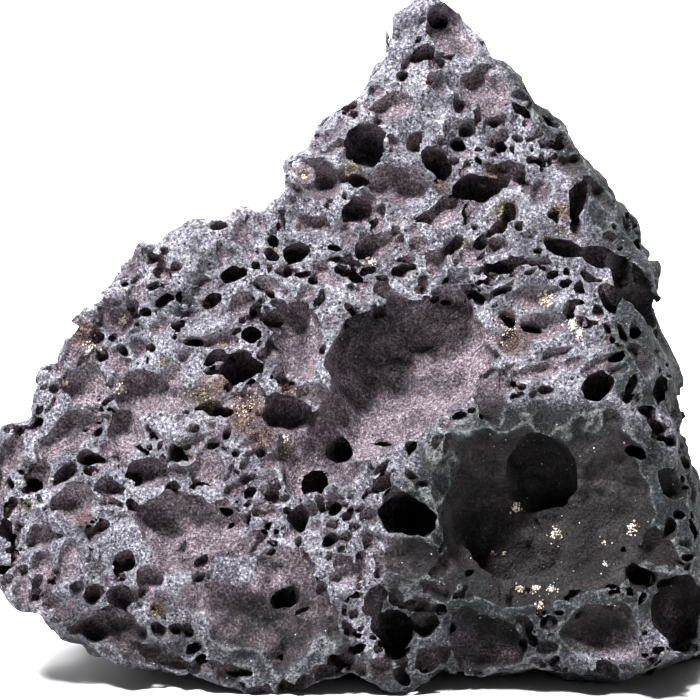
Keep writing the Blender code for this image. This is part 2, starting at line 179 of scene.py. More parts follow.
def smooth_larger(a, b, rounding):
    """The larger of two fields, with the crease between them rounded: max + rounding h^2 / 4."""
    near = np.maximum(rounding - np.abs(a - b), 0) / rounding
    return np.maximum(a, b) + near * near * (rounding / 4)


def edge_around(turn):
    """Distance and depth of the rock's edge in each direction from CENTRE, read off its stretches."""
    corners = np.array(EDGE + EDGE[:1])
    steps = np.arange(0, len(EDGE), 1 / EDGE_PARTS)
    across, up, behind = (np.interp(steps, np.arange(len(corners)), corners[:, i]) for i in range(3))
    turns = np.arctan2(up - CENTRE[1], across - CENTRE[0])
    order = np.argsort(turns)
    reach = np.hypot(up - CENTRE[1], across - CENTRE[0])
    return [np.interp(turn, turns[order], values[order], period=2 * math.pi) for values in (reach, behind)]


def lattice_axes():
    """The lattice's view coordinates, ready to be spread over one another: right, rise and ahead of PIVOT."""
    nearness = 1 + BEHIND[:, None, None] / EYE_DISTANCE
    right = (ACROSS[None, None, :] - DRAWING_SIZE / 2) * nearness
    rise = (UP[None, :, None] - DRAWING_SIZE / 2) * nearness
    return right.astype(np.float32), rise.astype(np.float32), BEHIND[:, None, None].astype(np.float32)


def along(direction, point=PIVOT):
    """Distance of each lattice point beyond a point in a direction: the dot product, axis by axis."""
    way = np.asarray(direction, float)
    total = right * np.float32(way @ RIGHT) + rise * np.float32(way @ UPWARD)
    return total + (ahead * np.float32(way @ FORWARD) + np.float32(way @ (PIVOT - np.asarray(point, float))))


def swell():
    """Height of the swells over the lattice: slow sine waves along directions a golden angle apart."""
    height = 0.0
    step = 0
    for wavelength, amplitude in SWELLS:
        for _ in range(WAVES_PER_SWELL):
            step += 1
            z = 1 - 2 * ((step * GOLDEN_SHARE) % 1.0)
            flat = math.sqrt(1 - z * z)
            way = np.array((flat * math.cos(GOLDEN_ANGLE * step), flat * math.sin(GOLDEN_ANGLE * step), z))
            phase = along(way * (2 * math.pi / wavelength), (0, 0, 0)) + np.float32(step)
            height = height + np.sin(phase) * np.float32(amplitude / math.sqrt(WAVES_PER_SWELL))
    return height


def broken_block():
    """The largest of: distance beyond the tapered edge, and distance beyond each fracture plane."""
    turn = np.arctan2(UP[:, None] - CENTRE[1], ACROSS[None, :] - CENTRE[0])
    reach = np.hypot(UP[:, None] - CENTRE[1], ACROSS[None, :] - CENTRE[0])
    edge_reach, edge_behind = edge_around(turn)
    nudge = 0.01
    lean = (edge_around(turn + nudge)[0] - edge_around(turn - nudge)[0]) / (2 * nudge) / edge_reach
    offset = BEHIND[:, None, None] - edge_behind[None]
    share = np.interp(offset, [d for d, _ in TAPER], [s for _, s in TAPER]).astype(np.float32)
    block = reach[None].astype(np.float32) - share * edge_reach[None].astype(np.float32)
    block *= (1 / np.sqrt(1 + np.minimum(lean * lean, STEEPEST_LEAN**2)))[None].astype(np.float32)
    shift = swell()
    for point, facing in FRACTURES.values():
        facing = np.array(facing) / np.linalg.norm(facing)
        plane = along(facing, point) - shift * np.float32(facing @ FORWARD)
        block = smooth_larger(block, plane, EDGE_ROUNDING)
    for seed, (spacing, height) in enumerate(CRUMBLE):
        block += crumple(spacing, CRUMBLE_SEED + seed) * np.float32(height)
    return block


right, rise, ahead = lattice_axes()
broken = broken_block()

# The bubbles
# Gas bubbles that the break has cut open at every depth: deep ones with a small mouth, pots with a wider one,
# round bowls and shallow dishes. Where many ran together they left great hollows with smooth walls. Balls and
# domes make them, their places warped by the same crumpled noise, so that no mouth is a true ellipse.
WARPS = ((7.0, 0.75), (2.6, 0.28), (1.2, 0.17))
WARP_SEEDS = (100, 200, 300)
RIM_ROUNDING = 0.2
NO_BUBBLE = -50.0
BUBBLE_MARGIN = 2.0
HOLLOW_WARP = 1.6
HOLLOW_ROUNDING = 0.8
HOLLOW_MARGIN = 6.0

# Mouth: distance from the middle at equal turns, anticlockwise from the right. Then depth, how far the widest
# part lies behind the mouth as a share of the depth, and how far the inside runs right and up per mm of depth
HOLLOWS = {
    "great hollow": (
        (82.5, 66.0), (15.5, 17.0, 16.0, 13.0, 13.5, 16.5, 17.0, 16.0, 15.5, 14.0, 12.5, 13.5),
        13.0, 0.1, (-0.1, 0.8),
    ),
    "great hollow, floor": (
        (73.0, 55.0), (12.0, 11.0, 12.0, 12.0, 10.0, 9.5, 11.0, 10.0, 8.0, 7.0, 7.5, 10.0),
        10.0, 0.0, (0.0, 0.3),
    ),
    "great hollow, foot": (
        (62.5, 48.5), (9.0, 9.0, 9.0, 8.0, 8.0, 8.0, 8.0, 8.5, 9.0, 8.0, 7.5, 8.0),
        10.0, 0.1, (0.0, 0.2),
    ),
    "bowl beside the great hollow": (
        (58.6, 69.8), (5.0, 5.6, 7.0, 7.8, 6.6, 5.8, 6.2, 4.6, 4.6, 7.0, 7.4, 5.6),
        8.5, 0.3, (-0.3, 0.9),
    ),
    "lower right hollow": (
        (107.0, 37.0), (30, 30, 28, 24.5, 22.5, 22, 20.5, 21, 19.5, 17, 18, 24),
        13.0, -0.35, (0.0, 0.0),
    ),
    "lower right hollow, dark side": (
        (99.5, 33.5), (15, 13, 12, 12, 11, 11, 10.5, 11, 12, 13, 14, 15),
        6.0, 0.0, (0.0, 0.2),
    ),
    "smooth lower left": (
        (53.0, 20.0), (16.0, 16.0, 12.0, 9.5, 9.5, 11.0, 13.5, 16.0, 15.0, 17.0, 15.0, 15.0),
        3.6, -0.4, (0.0, 0.0),
    ),
    "big left bowl": (
        (38.2, 33.8), (11.4, 9.0, 7.0, 6.6, 8.2, 10.8, 11.0, 10.0, 8.2, 7.0, 6.4, 7.4),
        6.5, 0.1, (-0.4, 0.4),
    ),
}

# Bubbles of the front: across, up, half length, half width, turn of the length from level in degrees. A round
# one has its half size alone, and one that lies level has no turn.
DEEP_BUBBLES = (
    (86.8, 128.0, 2.0, 1.2, 25), (79.4, 125.8, 0.6), (82.4, 124.4, 1.4, 1.0, 10), (78.2, 124.0, 0.6),
    (103.0, 117.4, 1.8, 0.8, -25), (93.8, 115.0, 1.6, 1.2, 15), (91.4, 111.8, 1.8, 1.2),
    (82.2, 111.6, 0.8, 1.6), (74.0, 111.0, 3.6, 3.2, -40), (71.2, 116.6, 0.8, 1.0),
    (86.2, 107.8, 3.4, 2.5, -50), (72.2, 104.2, 1.8, 1.2, 20), (94.4, 102.0, 4.3, 2.6, 10),
    (71.0, 98.4, 2.8, 1.8, 20), (87.6, 100.8, 0.8, 0.6), (95.8, 107.8, 0.8, 1.0), (87.0, 134.6, 1.6, 1.2),
    (109.2, 115.6, 1.8, 0.8, -30), (116.4, 99.0, 1.6, 2.8, -20), (96.8, 130.6, 1.0, 0.8),
    (112.8, 91.8, 4.4, 1.7, -10), (119.4, 90.0, 4.8, 2.6, -22), (124.4, 87.6, 3.4, 2.7, -45),
    (127.4, 81.4, 8.0, 3.0, -63), (126.6, 91.8, 1.0, 2.0, -50), (129.8, 88.6, 1.0, 2.0, -50),
    (121.6, 80.2, 2.6, 3.3), (119.8, 61.8, 2.4, 2.8), (125.4, 62.4, 0.8, 1.6), (132.4, 61.0, 1.6, 2.8),
    (127.6, 50.4, 1.8, 1.2), (135.0, 52.4, 1.0), (136.0, 34.8, 1.0, 1.4), (139.2, 34.2, 1.2, 2.0),
    (106.6, 90.6, 1.2, 0.6), (99.6, 87.4, 2.6, 1.8, 10), (98.8, 84.2, 1.8, 1.2, -10), (93.6, 83.4, 1.2, 0.6),
    (101.4, 81.6, 1.8, 1.0, 20), (72.6, 84.2, 1.8, 1.6), (80.2, 85.8, 1.4, 1.0, 40), (77.0, 83.6, 1.0, 0.6),
    (83.8, 83.0, 1.0, 0.8), (87.0, 80.6, 1.0, 0.8), (88.4, 79.4, 1.0, 0.8), (100.8, 78.0, 0.6),
    (106.8, 74.4, 1.6, 0.8), (97.4, 65.4, 1.2, 1.8), (105.0, 63.6, 1.2, 0.6), (95.6, 57.8, 0.6, 0.5),
    (116.2, 81.8, 0.8, 1.4, 20), (118.9, 74.0, 0.5, 1.2, 20), (122.7, 72.8, 1.6, 0.7, -40),
    (131.2, 72.6, 2.8, 1.1, -55), (125.2, 68.6, 1.6, 0.6, -50), (43.6, 93.2, 1.2, 0.8, 20),
    (46.0, 84.8, 3.0, 1.6, 10), (50.0, 86.6, 1.8, 1.2, 20), (54.0, 88.4, 1.6, 1.0, 15),
    (60.0, 89.2, 3.0, 1.6, 15), (68.0, 90.6, 1.2, 0.8), (67.8, 87.8, 0.8), (52.4, 81.2, 1.2, 0.6),
    (32.4, 89.6, 0.8, 0.6), (34.0, 86.8, 0.8), (31.6, 85.6, 1.2), (33.4, 81.0, 2.2, 1.4, 15),
    (22.0, 82.6, 0.8), (36.0, 75.8, 1.2, 1.0), (53.8, 75.2, 1.8, 1.6), (49.6, 72.6, 1.4),
    (26.8, 77.2, 1.0, 0.6), (21.4, 71.6, 0.8, 0.6), (23.8, 69.2, 1.0), (17.2, 46.2, 1.8, 1.4, 15),
    (13.2, 43.6, 1.4), (11.6, 49.2, 0.6), (16.8, 52.6, 0.6, 0.5), (18.8, 55.0, 0.5),
    (19.4, 52.6, 1.4, 0.7, 75), (3.8, 42.4, 0.8, 1.2), (8.4, 39.0, 0.8, 1.4), (3.4, 37.2, 0.8),
    (6.4, 35.6, 0.8), (1.2, 34.8, 1.2, 1.6), (26.4, 42.4, 1.6, 1.2), (35.2, 50.0, 1.5),
    (39.0, 54.4, 0.8, 0.6), (49.0, 66.2, 3.4, 2.9), (45.4, 63.0, 0.8), (43.8, 65.8, 1.6, 0.6),
    (57.4, 56.8, 4.6, 3.3, -45), (68.6, 49.6, 2.6, 2.4), (62.2, 42.2, 2.8, 2.2), (76.6, 51.2, 2.0, 1.2),
    (44.4, 38.2, 1.4, 0.9), (45.6, 35.0, 1.2, 0.6, 60), (48.6, 41.6, 1.4, 1.0, 20), (60.2, 36.0, 2.0, 2.2),
    (52.0, 48.8, 0.8), (38.0, 42.8, 0.8, 0.6), (53.2, 42.2, 0.6), (65.2, 38.8, 0.8, 1.2),
    (26.6, 26.4, 2.0, 1.6), (20.8, 32.0, 1.2), (30.6, 23.2, 1.8, 1.4, 15), (24.2, 20.5, 2.6, 2.0, 10),
    (30.8, 15.4, 1.0, 0.8), (34.0, 15.4, 1.2, 0.8), (40.0, 9.6, 1.6, 1.2), (56.4, 21.2, 2.0, 2.2),
    (63.6, 23.8, 0.8, 1.2), (60.0, 31.6, 1.0, 0.6, 60), (54.0, 31.2, 1.2, 0.6), (47.8, 6.4, 1.6, 0.6),
    (77.4, 42.2, 1.8, 1.4), (76.0, 37.8, 1.0, 1.2), (81.8, 36.8, 5.0, 3.8), (76.2, 20.6, 2.4, 3.6),
    (79.6, 14.8, 4.0, 4.6), (72.0, 10.6, 1.8, 0.8), (128.6, 24.2, 2.4), (135.6, 16.8, 4.4, 6.5),
    (130.8, 11.0, 1.0, 1.2), (125.6, 30.2, 0.8, 0.6), (121.2, 20.2, 0.6), (93.0, 25.8, 0.6),
    (97.6, 30.2, 0.8, 0.4),
)
POT_BUBBLES = ((63.6, 104.2, 4.8, 3.6, -15), (108.3, 44.6, 7.0, 8.2, 0))
BOWL_BUBBLES = (
    (82.2, 132.2, 2.0, 1.8), (90.8, 133.2, 5.6, 4.0, -45), (80.0, 127.2, 1.2, 1.0), (85.0, 123.8, 1.2, 0.8),
    (79.8, 118.8, 4.6, 2.8, 8), (95.0, 122.4, 1.8), (98.8, 120.8, 3.4, 4.4, -30), (68.4, 111.0, 1.8),
    (79.0, 103.4, 5.4, 3.4), (86.6, 98.0, 5.4, 1.8, 20), (75.2, 98.4, 1.2, 1.6), (100.4, 107.0, 1.6, 1.4),
    (104.4, 104.8, 2.0), (103.2, 112.4, 1.2, 0.8), (104.4, 115.4, 1.0), (108.4, 111.4, 1.6, 1.0),
    (111.6, 111.0, 1.0), (115.0, 106.4, 3.4, 2.8, -45), (112.8, 101.6, 1.0), (108.0, 98.0, 1.0),
    (116.0, 82.4, 1.2, 1.6), (118.2, 77.6, 1.2, 1.6), (137.0, 46.8, 1.4), (75.6, 91.4, 3.8, 3.0, 20),
    (82.0, 92.4, 1.8, 2.0), (85.4, 89.6, 2.4, 2.8), (99.4, 92.6, 2.6, 1.8), (103.4, 86.8, 1.2, 1.0),
    (91.8, 85.8, 2.4, 2.0), (109.8, 85.6, 1.8, 1.2, 15), (101.6, 84.8, 0.8, 0.6), (105.8, 85.8, 1.0, 0.8),
    (79.0, 83.0, 1.2, 0.8), (91.0, 79.8, 0.8, 1.2), (108.4, 74.8, 5.4, 1.8, 15), (99.4, 65.8, 0.8, 0.6),
    (108.4, 67.4, 4.8, 1.8, 15), (93.6, 60.4, 0.8), (87.4, 55.4, 1.6, 1.0), (62.0, 95.4, 4.2, 1.8, -5),
    (46.0, 96.4, 2.0, 1.4), (47.8, 92.6, 2.2, 2.4), (44.6, 89.4, 1.4), (41.8, 87.2, 1.2),
    (38.0, 86.4, 1.6, 1.0), (57.6, 91.8, 1.8, 1.2), (55.6, 81.6, 1.2, 1.0), (29.0, 85.4, 1.4, 1.0),
    (26.4, 84.2, 1.2, 1.0), (27.2, 81.6, 2.4, 1.8, -15), (38.0, 82.0, 1.4, 1.2), (22.4, 76.2, 3.6),
    (31.8, 76.0, 2.8, 2.0, 25), (37.8, 77.8, 1.8, 1.6, 50), (46.6, 78.4, 2.6, 2.0), (40.8, 74.0, 0.8),
    (31.6, 72.2, 0.8), (27.6, 70.0, 1.8, 2.4), (20.4, 69.6, 1.0, 0.8), (35.0, 70.2, 1.2, 0.8, 30),
    (44.0, 72.0, 3.0, 2.0), (16.8, 76.2, 0.6), (16.2, 63.0, 4.2), (28.8, 62.0, 6.2, 4.4, -5),
    (13.8, 52.6, 6.4, 4.0, 35), (7.0, 59.8, 1.0, 1.6), (3.0, 49.6, 2.6, 5.2), (15.0, 37.4, 4.8, 4.0, 20),
    (21.6, 41.2, 2.8, 2.2, -20), (28.6, 45.4, 4.4, 4.0), (40.8, 47.2, 3.4), (32.4, 53.4, 1.0, 0.8),
    (36.4, 55.6, 1.8, 1.2), (42.8, 55.6, 1.0, 0.8), (29.2, 52.0, 0.8, 0.6), (52.8, 37.2, 2.4, 1.8),
    (51.4, 39.2, 1.0), (49.0, 47.2, 1.4, 1.2), (46.0, 47.0, 0.8, 1.2), (48.6, 30.8, 4.0, 2.2, 25),
    (8.4, 26.8, 2.6, 2.8), (14.8, 27.6, 2.8, 3.0), (20.8, 18.6, 1.2, 1.0), (29.0, 10.2, 7.6, 2.5, -18),
    (64.0, 20.0, 1.4, 1.2), (59.8, 17.0, 1.8, 0.8, 15), (55.0, 8.4, 2.2, 1.8), (56.2, 34.0, 0.8),
    (82.0, 29.0, 4.8, 3.6), (80.6, 21.2, 2.0), (97.6, 13.0, 7.4, 7.6), (133.0, 30.8, 3.8, 4.6),
    (107.4, 80.2, 5.0, 2.8, 15), (98.8, 60.8, 3.2, 4.0), (111.0, 70.8, 2.8, 1.3, 15), (105.6, 21.2, 3.4, 1.2),
    (127.6, 67.4, 4.6, 1.9, -55), (120.8, 100.9, 4.4, 2.2, -35),
)
DISH_BUBBLES = (
    (87.6, 120.2, 0.8), (93.0, 110.8, 2.0, 1.8), (81.0, 110.0, 1.2, 1.0), (73.6, 115.4, 2.0, 1.2),
    (99.2, 109.6, 1.4, 0.8), (108.8, 101.6, 4.0, 2.4, 20), (106.6, 95.4, 3.6, 1.4, -5), (93.0, 91.2, 2.4),
    (103.0, 91.8, 1.6, 1.4), (87.6, 82.4, 1.6, 1.2), (82.0, 81.6, 1.6, 1.0), (97.6, 56.6, 2.8, 0.8),
    (93.4, 52.2, 2.4), (89.2, 51.8, 1.2, 1.6), (98.6, 52.6, 1.8, 2.0), (53.2, 95.0, 2.6, 1.6),
    (51.8, 91.8, 2.0, 1.8), (37.4, 89.6, 3.0, 2.8), (64.2, 85.0, 2.8), (67.0, 82.8, 2.8, 1.6),
    (52.4, 82.6, 2.8, 2.0), (60.0, 80.0, 2.6, 2.8), (40.4, 82.2, 1.2, 0.8), (68.2, 78.4, 1.2, 1.0),
    (25.8, 87.2, 0.8), (14.0, 69.0, 1.4, 1.6), (24.6, 54.8, 3.4, 4.4), (10.0, 59.6, 0.8, 1.0),
    (13.6, 47.4, 1.4, 1.2), (35.2, 46.0, 2.0, 1.8), (21.0, 49.4, 1.6, 2.0), (22.4, 30.2, 2.2, 1.6),
    (25.6, 29.4, 1.0, 0.6), (22.6, 15.6, 5.4, 2.6, -10), (75.4, 36.0, 2.0, 3.0), (71.2, 45.2, 3.6, 2.0, 30),
    (79.8, 46.6, 2.4, 1.2, 25), (119.6, 10.8, 8.2, 6.6, -15), (125.8, 15.6, 2.8, 3.0),
)

# How deep each kind is: the sink of its widest part, its depth per mm of half size, what is added, the most
SINKS = {
    "deep": (0.60, 1.3, 1.8, 2.4),
    "pot": (0.35, 1.35, 0.6, 2.2),
    "bowl": (0.15, 0.7, 0.5, 2.0),
    "dish": (-0.45, 1.1, 0.1, 2.0),
}
LEAST_REACH = 1.0
LEAST_WALL = 3.0

# Bubbles between the others on the front, by chance: how many, half size, kinds, and how near to the others.
# Each is longer than wide by chance, and most are turned a little, the way that the lava flowed.
CHANCE_SEED = 5
CHANCE_LENGTH = (1, 1.5)
CHANCE_WIDTH = (0.6, 1.0)
CHANCE_TURN = (20, 25)
CHANCE_GAP = 0.6
CHANCE_BUBBLES = (
    (200, (1.1, 2.1), ("bowl", "bowl", "dish"), 0.90),
    (1500, (0.4, 1.1), ("deep", "bowl", "bowl", "dish"), 0.90),
)

# Bubbles of the sides, top and back, scattered by a rule: seed, how many, half size, how much rarer the large
# ones are, and whether they are kept apart
SCATTERS = ((11, 78, (3.0, 9.5), 2.2, True), (23, 520, (0.9, 3.0), 1.8, False))
SCATTER_SINK = (-0.35, 0.35)
SCATTER_STRETCH = 0.7
SCATTER_SQUASH = 0.9
SCATTER_REACH = 50.0
SCATTER_CORE = Vector((2.0, 4.0, 48.0))
FRONT_CONE = math.cos(math.radians(62.0))
LOWEST_WAY = -0.62
MARCH_FROM = 110.0
MARCH_STEP = 0.3

# Off the front the thin blades between bubbles have worn away, from this far behind the drawing plane
SOFT_FROM = -6.0
SOFT_OVER = 10.0


def ring_radius(turn, distances):
    """Distance from the middle at an angle, between the distances given at equal turns."""
    turns = np.arange(len(distances)) * (2 * math.pi / len(distances))
    return np.interp(turn, turns, distances, period=2 * math.pi)


def nearby(across, up, behind, reach):
    """The slices of the lattice within reach of a drawn point, as behind, up, across."""
    pairs = ((BEHIND, behind), (UP, up), (ACROSS, across))
    return tuple(slice(*np.searchsorted(places, (mid - reach, mid + reach))) for places, mid in pairs)


def sight_line(field, across, up):
    """The field along the sight line of the lattice that is nearest to a drawn place."""
    return field[:, int(round((up - UP[0]) / LATTICE_STEP)), int(round((across - ACROSS[0]) / LATTICE_STEP))]


def front_at(across, up):
    """How far behind the drawing plane the first solid lies on a sight line, or None where there is none."""
    column = np.maximum(sight_line(broken, across, up), sight_line(cut, across, up))
    solid = np.flatnonzero(column < 0)
    if not len(solid) or solid[0] == 0:
        return None
    i = solid[0]
    return float(BEHIND[i - 1] + (BEHIND[i] - BEHIND[i - 1]) * column[i - 1] / (column[i - 1] - column[i]))


def wall_behind(across, up):
    """How far behind the drawing plane a bubble may reach on a sight line and leave the least wall."""
    return float(BEHIND[np.flatnonzero(sight_line(broken, across, up) < 0)[-1]]) - LEAST_WALL


def burst(view_centre, inward, size, reach):
    """Takes a warped ball out of the rock: inside where |inward (p - centre)| < 1, in view coordinates."""
    nearness = 1 + view_centre[2] / EYE_DISTANCE
    half = DRAWING_SIZE / 2
    part = nearby(view_centre[0] / nearness + half, view_centre[1] / nearness + half, view_centre[2], reach)
    b, u, a = part
    dx = right[b, :, a] - view_centre[0] + warp[0][part]
    dy = rise[b, u, :] - view_centre[1] + warp[1][part]
    dz = ahead[b] - view_centre[2] + warp[2][part]
    squares = sum((row[0] * dx + row[1] * dy + row[2] * dz) ** 2 for row in inward.astype(np.float32))
    distance = (np.sqrt(squares) - 1) * np.float32(size)
    cut[part] = smooth_larger(cut[part], -distance, RIM_ROUNDING)


def dome(middle, mouth, depth, sink, slant):
    """Takes out a slanted ball whose half axes are the mouth's distance at each turn and the depth."""
    behind = front_at(*middle) + depth * sink
    part = nearby(*middle, behind, max(max(mouth), depth) + HOLLOW_MARGIN)
    b, u, a = part
    dz = BEHIND[b][:, None, None] - behind + warp[2][part] * HOLLOW_WARP
    dx = ACROSS[a][None, None, :] - middle[0] + warp[0][part] - slant[0] * np.maximum(dz, 0)
    dy = UP[u][None, :, None] - middle[1] + warp[1][part] - slant[1] * np.maximum(dz, 0)
    radius = ring_radius(np.arctan2(dy, dx), mouth)
    distance = (np.sqrt((dx * dx + dy * dy) / radius**2 + (dz / depth) ** 2) - 1) * min(depth, min(mouth))
    cut[part] = smooth_larger(cut[part], -distance.astype(np.float32), HOLLOW_ROUNDING)


def open_front_bubble(across, up, length, width, turn, kind):
    """Sets a ball on its sight line, sunk so that its mouth has the drawn size, and takes it out."""
    surface = front_at(across, up)
    if surface is None:
        return
    sink, depth, extra, most = SINKS[kind]
    grown = 1 / math.sqrt(1 - sink * sink)
    size = math.sqrt(length * width)
    reach = min(most * size, depth * size + extra) * grown
    reach = max(LEAST_REACH, min(reach, (wall_behind(across, up) - surface) / (1 + sink)))
    behind = surface + reach * sink
    nearness = 1 + behind / EYE_DISTANCE
    half = DRAWING_SIZE / 2
    centre = ((across - half) * nearness, (up - half) * nearness, behind)
    c, s = math.cos(math.radians(turn)), math.sin(math.radians(turn))
    axes = np.array(((c / length, s / length, 0), (-s / width, c / width, 0), (0, 0, grown / reach))) / grown
    burst(centre, axes, min(length, width) * grown, max(length, width, reach) * grown + BUBBLE_MARGIN)


def march(way, origin=np.array(SCATTER_CORE)):
    """Where a ray from far outside towards the core first meets the rock, in X, Y, Z."""
    steps = np.arange(MARCH_FROM, 0.0, -MARCH_STEP)
    points = origin + np.asarray(way) * steps[:, None]
    across, up, behind = drawn_place(points)
    spots = tuple(
        np.clip(np.searchsorted(places, values), 0, len(places) - 1)
        for places, values in ((BEHIND, behind), (UP, up), (ACROSS, across))
    )
    solid = np.flatnonzero(np.maximum(broken[spots], cut[spots]) < 0)
    return points[solid[0]] if len(solid) else None


def open_side_bubble(hit, way, size, stretch, sink, turn):
    """Takes out an egg turned any way: its matrix is the inverse of turn times its half axes."""
    axes = np.array(turn) * (size * stretch, size, size * SCATTER_SQUASH)
    view = np.stack((RIGHT, UPWARD, FORWARD))
    inward = np.linalg.inv(axes) @ view.T
    centre = view @ (hit - np.asarray(way) * size * sink - PIVOT)
    burst(centre, inward, size * SCATTER_SQUASH, size * stretch + BUBBLE_MARGIN)


def scattered(seed, count, radius, power, spaced):
    """Directions and shapes of bubbles off the front: chance vectors, kept apart by angle if spaced."""
    chance = random.Random(seed)
    placed = []
    while len(placed) < count:
        way = Vector([chance.gauss(0, 1) for _ in range(3)]).normalized()
        size = radius[0] + (radius[1] - radius[0]) * chance.random() ** power
        stretch = 1 + SCATTER_STRETCH * chance.random()
        sink = chance.uniform(*SCATTER_SINK)
        turn = Euler([chance.uniform(0, math.pi) for _ in range(3)]).to_matrix()
        if way.dot(Vector(-FORWARD)) > FRONT_CONE or way.z < LOWEST_WAY:
            continue
        if spaced and any(way.angle(other[0]) * SCATTER_REACH < size + other[1] for other in placed):
            continue
        placed.append((way, size, stretch, sink, turn))
    return placed


def all_numbers(across, up, length, width=None, turn=0):
    """The five numbers of a bubble: width is length and turn is 0 where they aren't given."""
    return across, up, length, width or length, turn


def open_scattered(scatter):
    """Takes out each bubble of a scatter that meets the rock on its way to the core."""
    for way, size, stretch, sink, turn in scattered(*scatter):
        hit = march(way)
        if hit is not None:
            open_side_bubble(hit, way, size, stretch, sink, turn)


def warp_field(seed):
    """How far the places on one axis are pushed: crumpled noise of each spacing times its height."""
    return sum(crumple(spacing, seed + i) * np.float32(height) for i, (spacing, height) in enumerate(WARPS))


cut = np.full(broken.shape, np.float32(NO_BUBBLE))
warp = [warp_field(seed) for seed in WARP_SEEDS]
for hollow in HOLLOWS.values():
    dome(*hollow)
open_scattered(SCATTERS[0])
by_kind = {"deep": DEEP_BUBBLES, "pot": POT_BUBBLES, "bowl": BOWL_BUBBLES, "dish": DISH_BUBBLES}
drawn = [(all_numbers(*bubble), kind) for kind, bubbles in by_kind.items() for bubble in bubbles]
for bubble, kind in sorted(drawn, key=lambda pair: -pair[0][2] * pair[0][3]):
    open_front_bubble(*bubble, kind)
open_scattered(SCATTERS[1])


def in_hollow(across, up):
    """Whether a drawn place lies inside the mouth of one of the great hollows."""
    for middle, mouth, *_ in HOLLOWS.values():
        dx, dy = across - middle[0], up - middle[1]
        if math.hypot(dx, dy) < ring_radius(math.atan2(dy, dx), mouth):
            return True
    return False


chance = random.Random(CHANCE_SEED)
others = np.array([bubble[:4] for bubble, _ in drawn])
for count, half_size, kinds, spacing in CHANCE_BUBBLES:
    placed = []
    while len(placed) < count:
        across, up = chance.uniform(0, DRAWING_SIZE), chance.uniform(0, DRAWING_SIZE)
        length = chance.uniform(*half_size) * chance.uniform(*CHANCE_LENGTH)
        width = length * chance.uniform(*CHANCE_WIDTH)
        turn = chance.gauss(*CHANCE_TURN)
        kind = chance.choice(kinds)
        if in_hollow(across, up) or front_at(across, up) is None:
            continue
        gaps = np.hypot(others[:, 0] - across, others[:, 1] - up)
        if (gaps < spacing * others[:, 2:].max(axis=1) + CHANCE_GAP * length).any():
            continue
        open_front_bubble(across, up, length, width, turn, kind)
        placed.append((across, up, length, width))
    others = np.concatenate((others, placed))


def softened(field):
    """The mean of each value and its neighbours, weighted 1 2 1 along every axis: no blade is left."""
    for axis in range(3):
        ahead_one, behind_one = np.roll(field, -1, axis), np.roll(field, 1, axis)
        field = field / 2 + (ahead_one + behind_one) / 4
    return field


rock = smooth_larger(broken, cut, RIM_ROUNDING)
off_front = np.clip((BEHIND - SOFT_FROM) / SOFT_OVER, 0, 1).astype(np.float32)[:, None, None]
rock += off_front * (softened(rock) - rock)
below_floor = np.float32(UNDERSIDE_Z) - along((0, 0, 1), (0, 0, 0))
rock = np.maximum(rock, below_floor)

# The rock's skin
# The one natural surface of the rock, drawn where the field is zero: broken lava outside, glassy linings in
# the bubbles. One point stands in each lattice cell that the surface crosses, at the mean of its crossings.
SKIN_TRIANGLES = 196000

# The broken front keeps more of its triangles than what faces away: weights of both, and how much they count
FACING_AWAY = 0.15
AWAY_WEIGHT = 1.0
FRONT_WEIGHT = 0.5
FRONT_CARE = 3.0
SHARP_ANGLE = math.radians(50)

# How far from the edge of a bubble its rim is paler: rubbed wear and partly a painted highlight
RIM_WIDTH = 0.5


def surface_points(field):
    """Points and quads of the zero surface: a point per crossed cell, and a quad round each crossed edge."""
    solid = field < 0
    count = np.zeros([n - 1 for n in field.shape], np.uint8)
    corners = [(i, j, k) for i in (0, 1) for j in (0, 1) for k in (0, 1)]
    for i, j, k in corners:
        count += solid[i : i + count.shape[0], j : j + count.shape[1], k : k + count.shape[2]]
    crossed = np.argwhere((count > 0) & (count < 8))
    number = np.full(count.shape, -1, np.int32)
    number[tuple(crossed.T)] = np.arange(len(crossed))
    total = np.zeros((len(crossed), 3), np.float32)
    found = np.zeros(len(crossed), np.float32)
    values = {c: field[tuple((crossed + c).T)] for c in corners}
    for axis in range(3):
        for near in (c for c in corners if c[axis] == 0):
            far = tuple(v + (n == axis) for n, v in enumerate(near))
            first, second = values[near], values[far]
            crosses = (first < 0) != (second < 0)
            place = np.tile(np.array(near, np.float32), (len(crossed), 1))
            place[:, axis] = first / np.where(crosses, first - second, 1)
            total += place * crosses[:, None]
            found += crosses
    points = crossed + total / found[:, None]
    quads = []
    for axis in range(3):
        one, two = (axis + 1) % 3, (axis + 2) % 3
        low = [slice(1, n - 1) for n in field.shape]
        high = list(low)
        low[axis], high[axis] = slice(0, field.shape[axis] - 1), slice(1, field.shape[axis])
        edges = np.argwhere(solid[tuple(low)] != solid[tuple(high)])
        edges[:, [one, two]] += 1
        leaving = solid[tuple(edges.T)]
        ring = []
        for back_one, back_two in ((1, 1), (0, 1), (0, 0), (1, 0)):
            cell = edges.copy()
            cell[:, one] -= back_one
            cell[:, two] -= back_two
            ring.append(number[tuple(cell.T)])
        ring = np.stack(ring, 1)
        quads.append(np.where(leaving[:, None], ring, ring[:, ::-1]))
    return points, np.concatenate(quads)


def largest_body(count, quads):
    """Marks the points of the largest connected surface: each point takes its neighbours' least label."""
    label = np.arange(count)
    first = np.concatenate((quads[:, 0], quads[:, 1], quads[:, 2]))
    second = np.concatenate((quads[:, 1], quads[:, 2], quads[:, 3]))
    while True:
        one, two = label[first], label[second]
        if (one == two).all():
            return label == np.bincount(label).argmax()
        np.minimum.at(label, one, two)
        np.minimum.at(label, two, one)
        for _ in range(4):
            label = label[label]


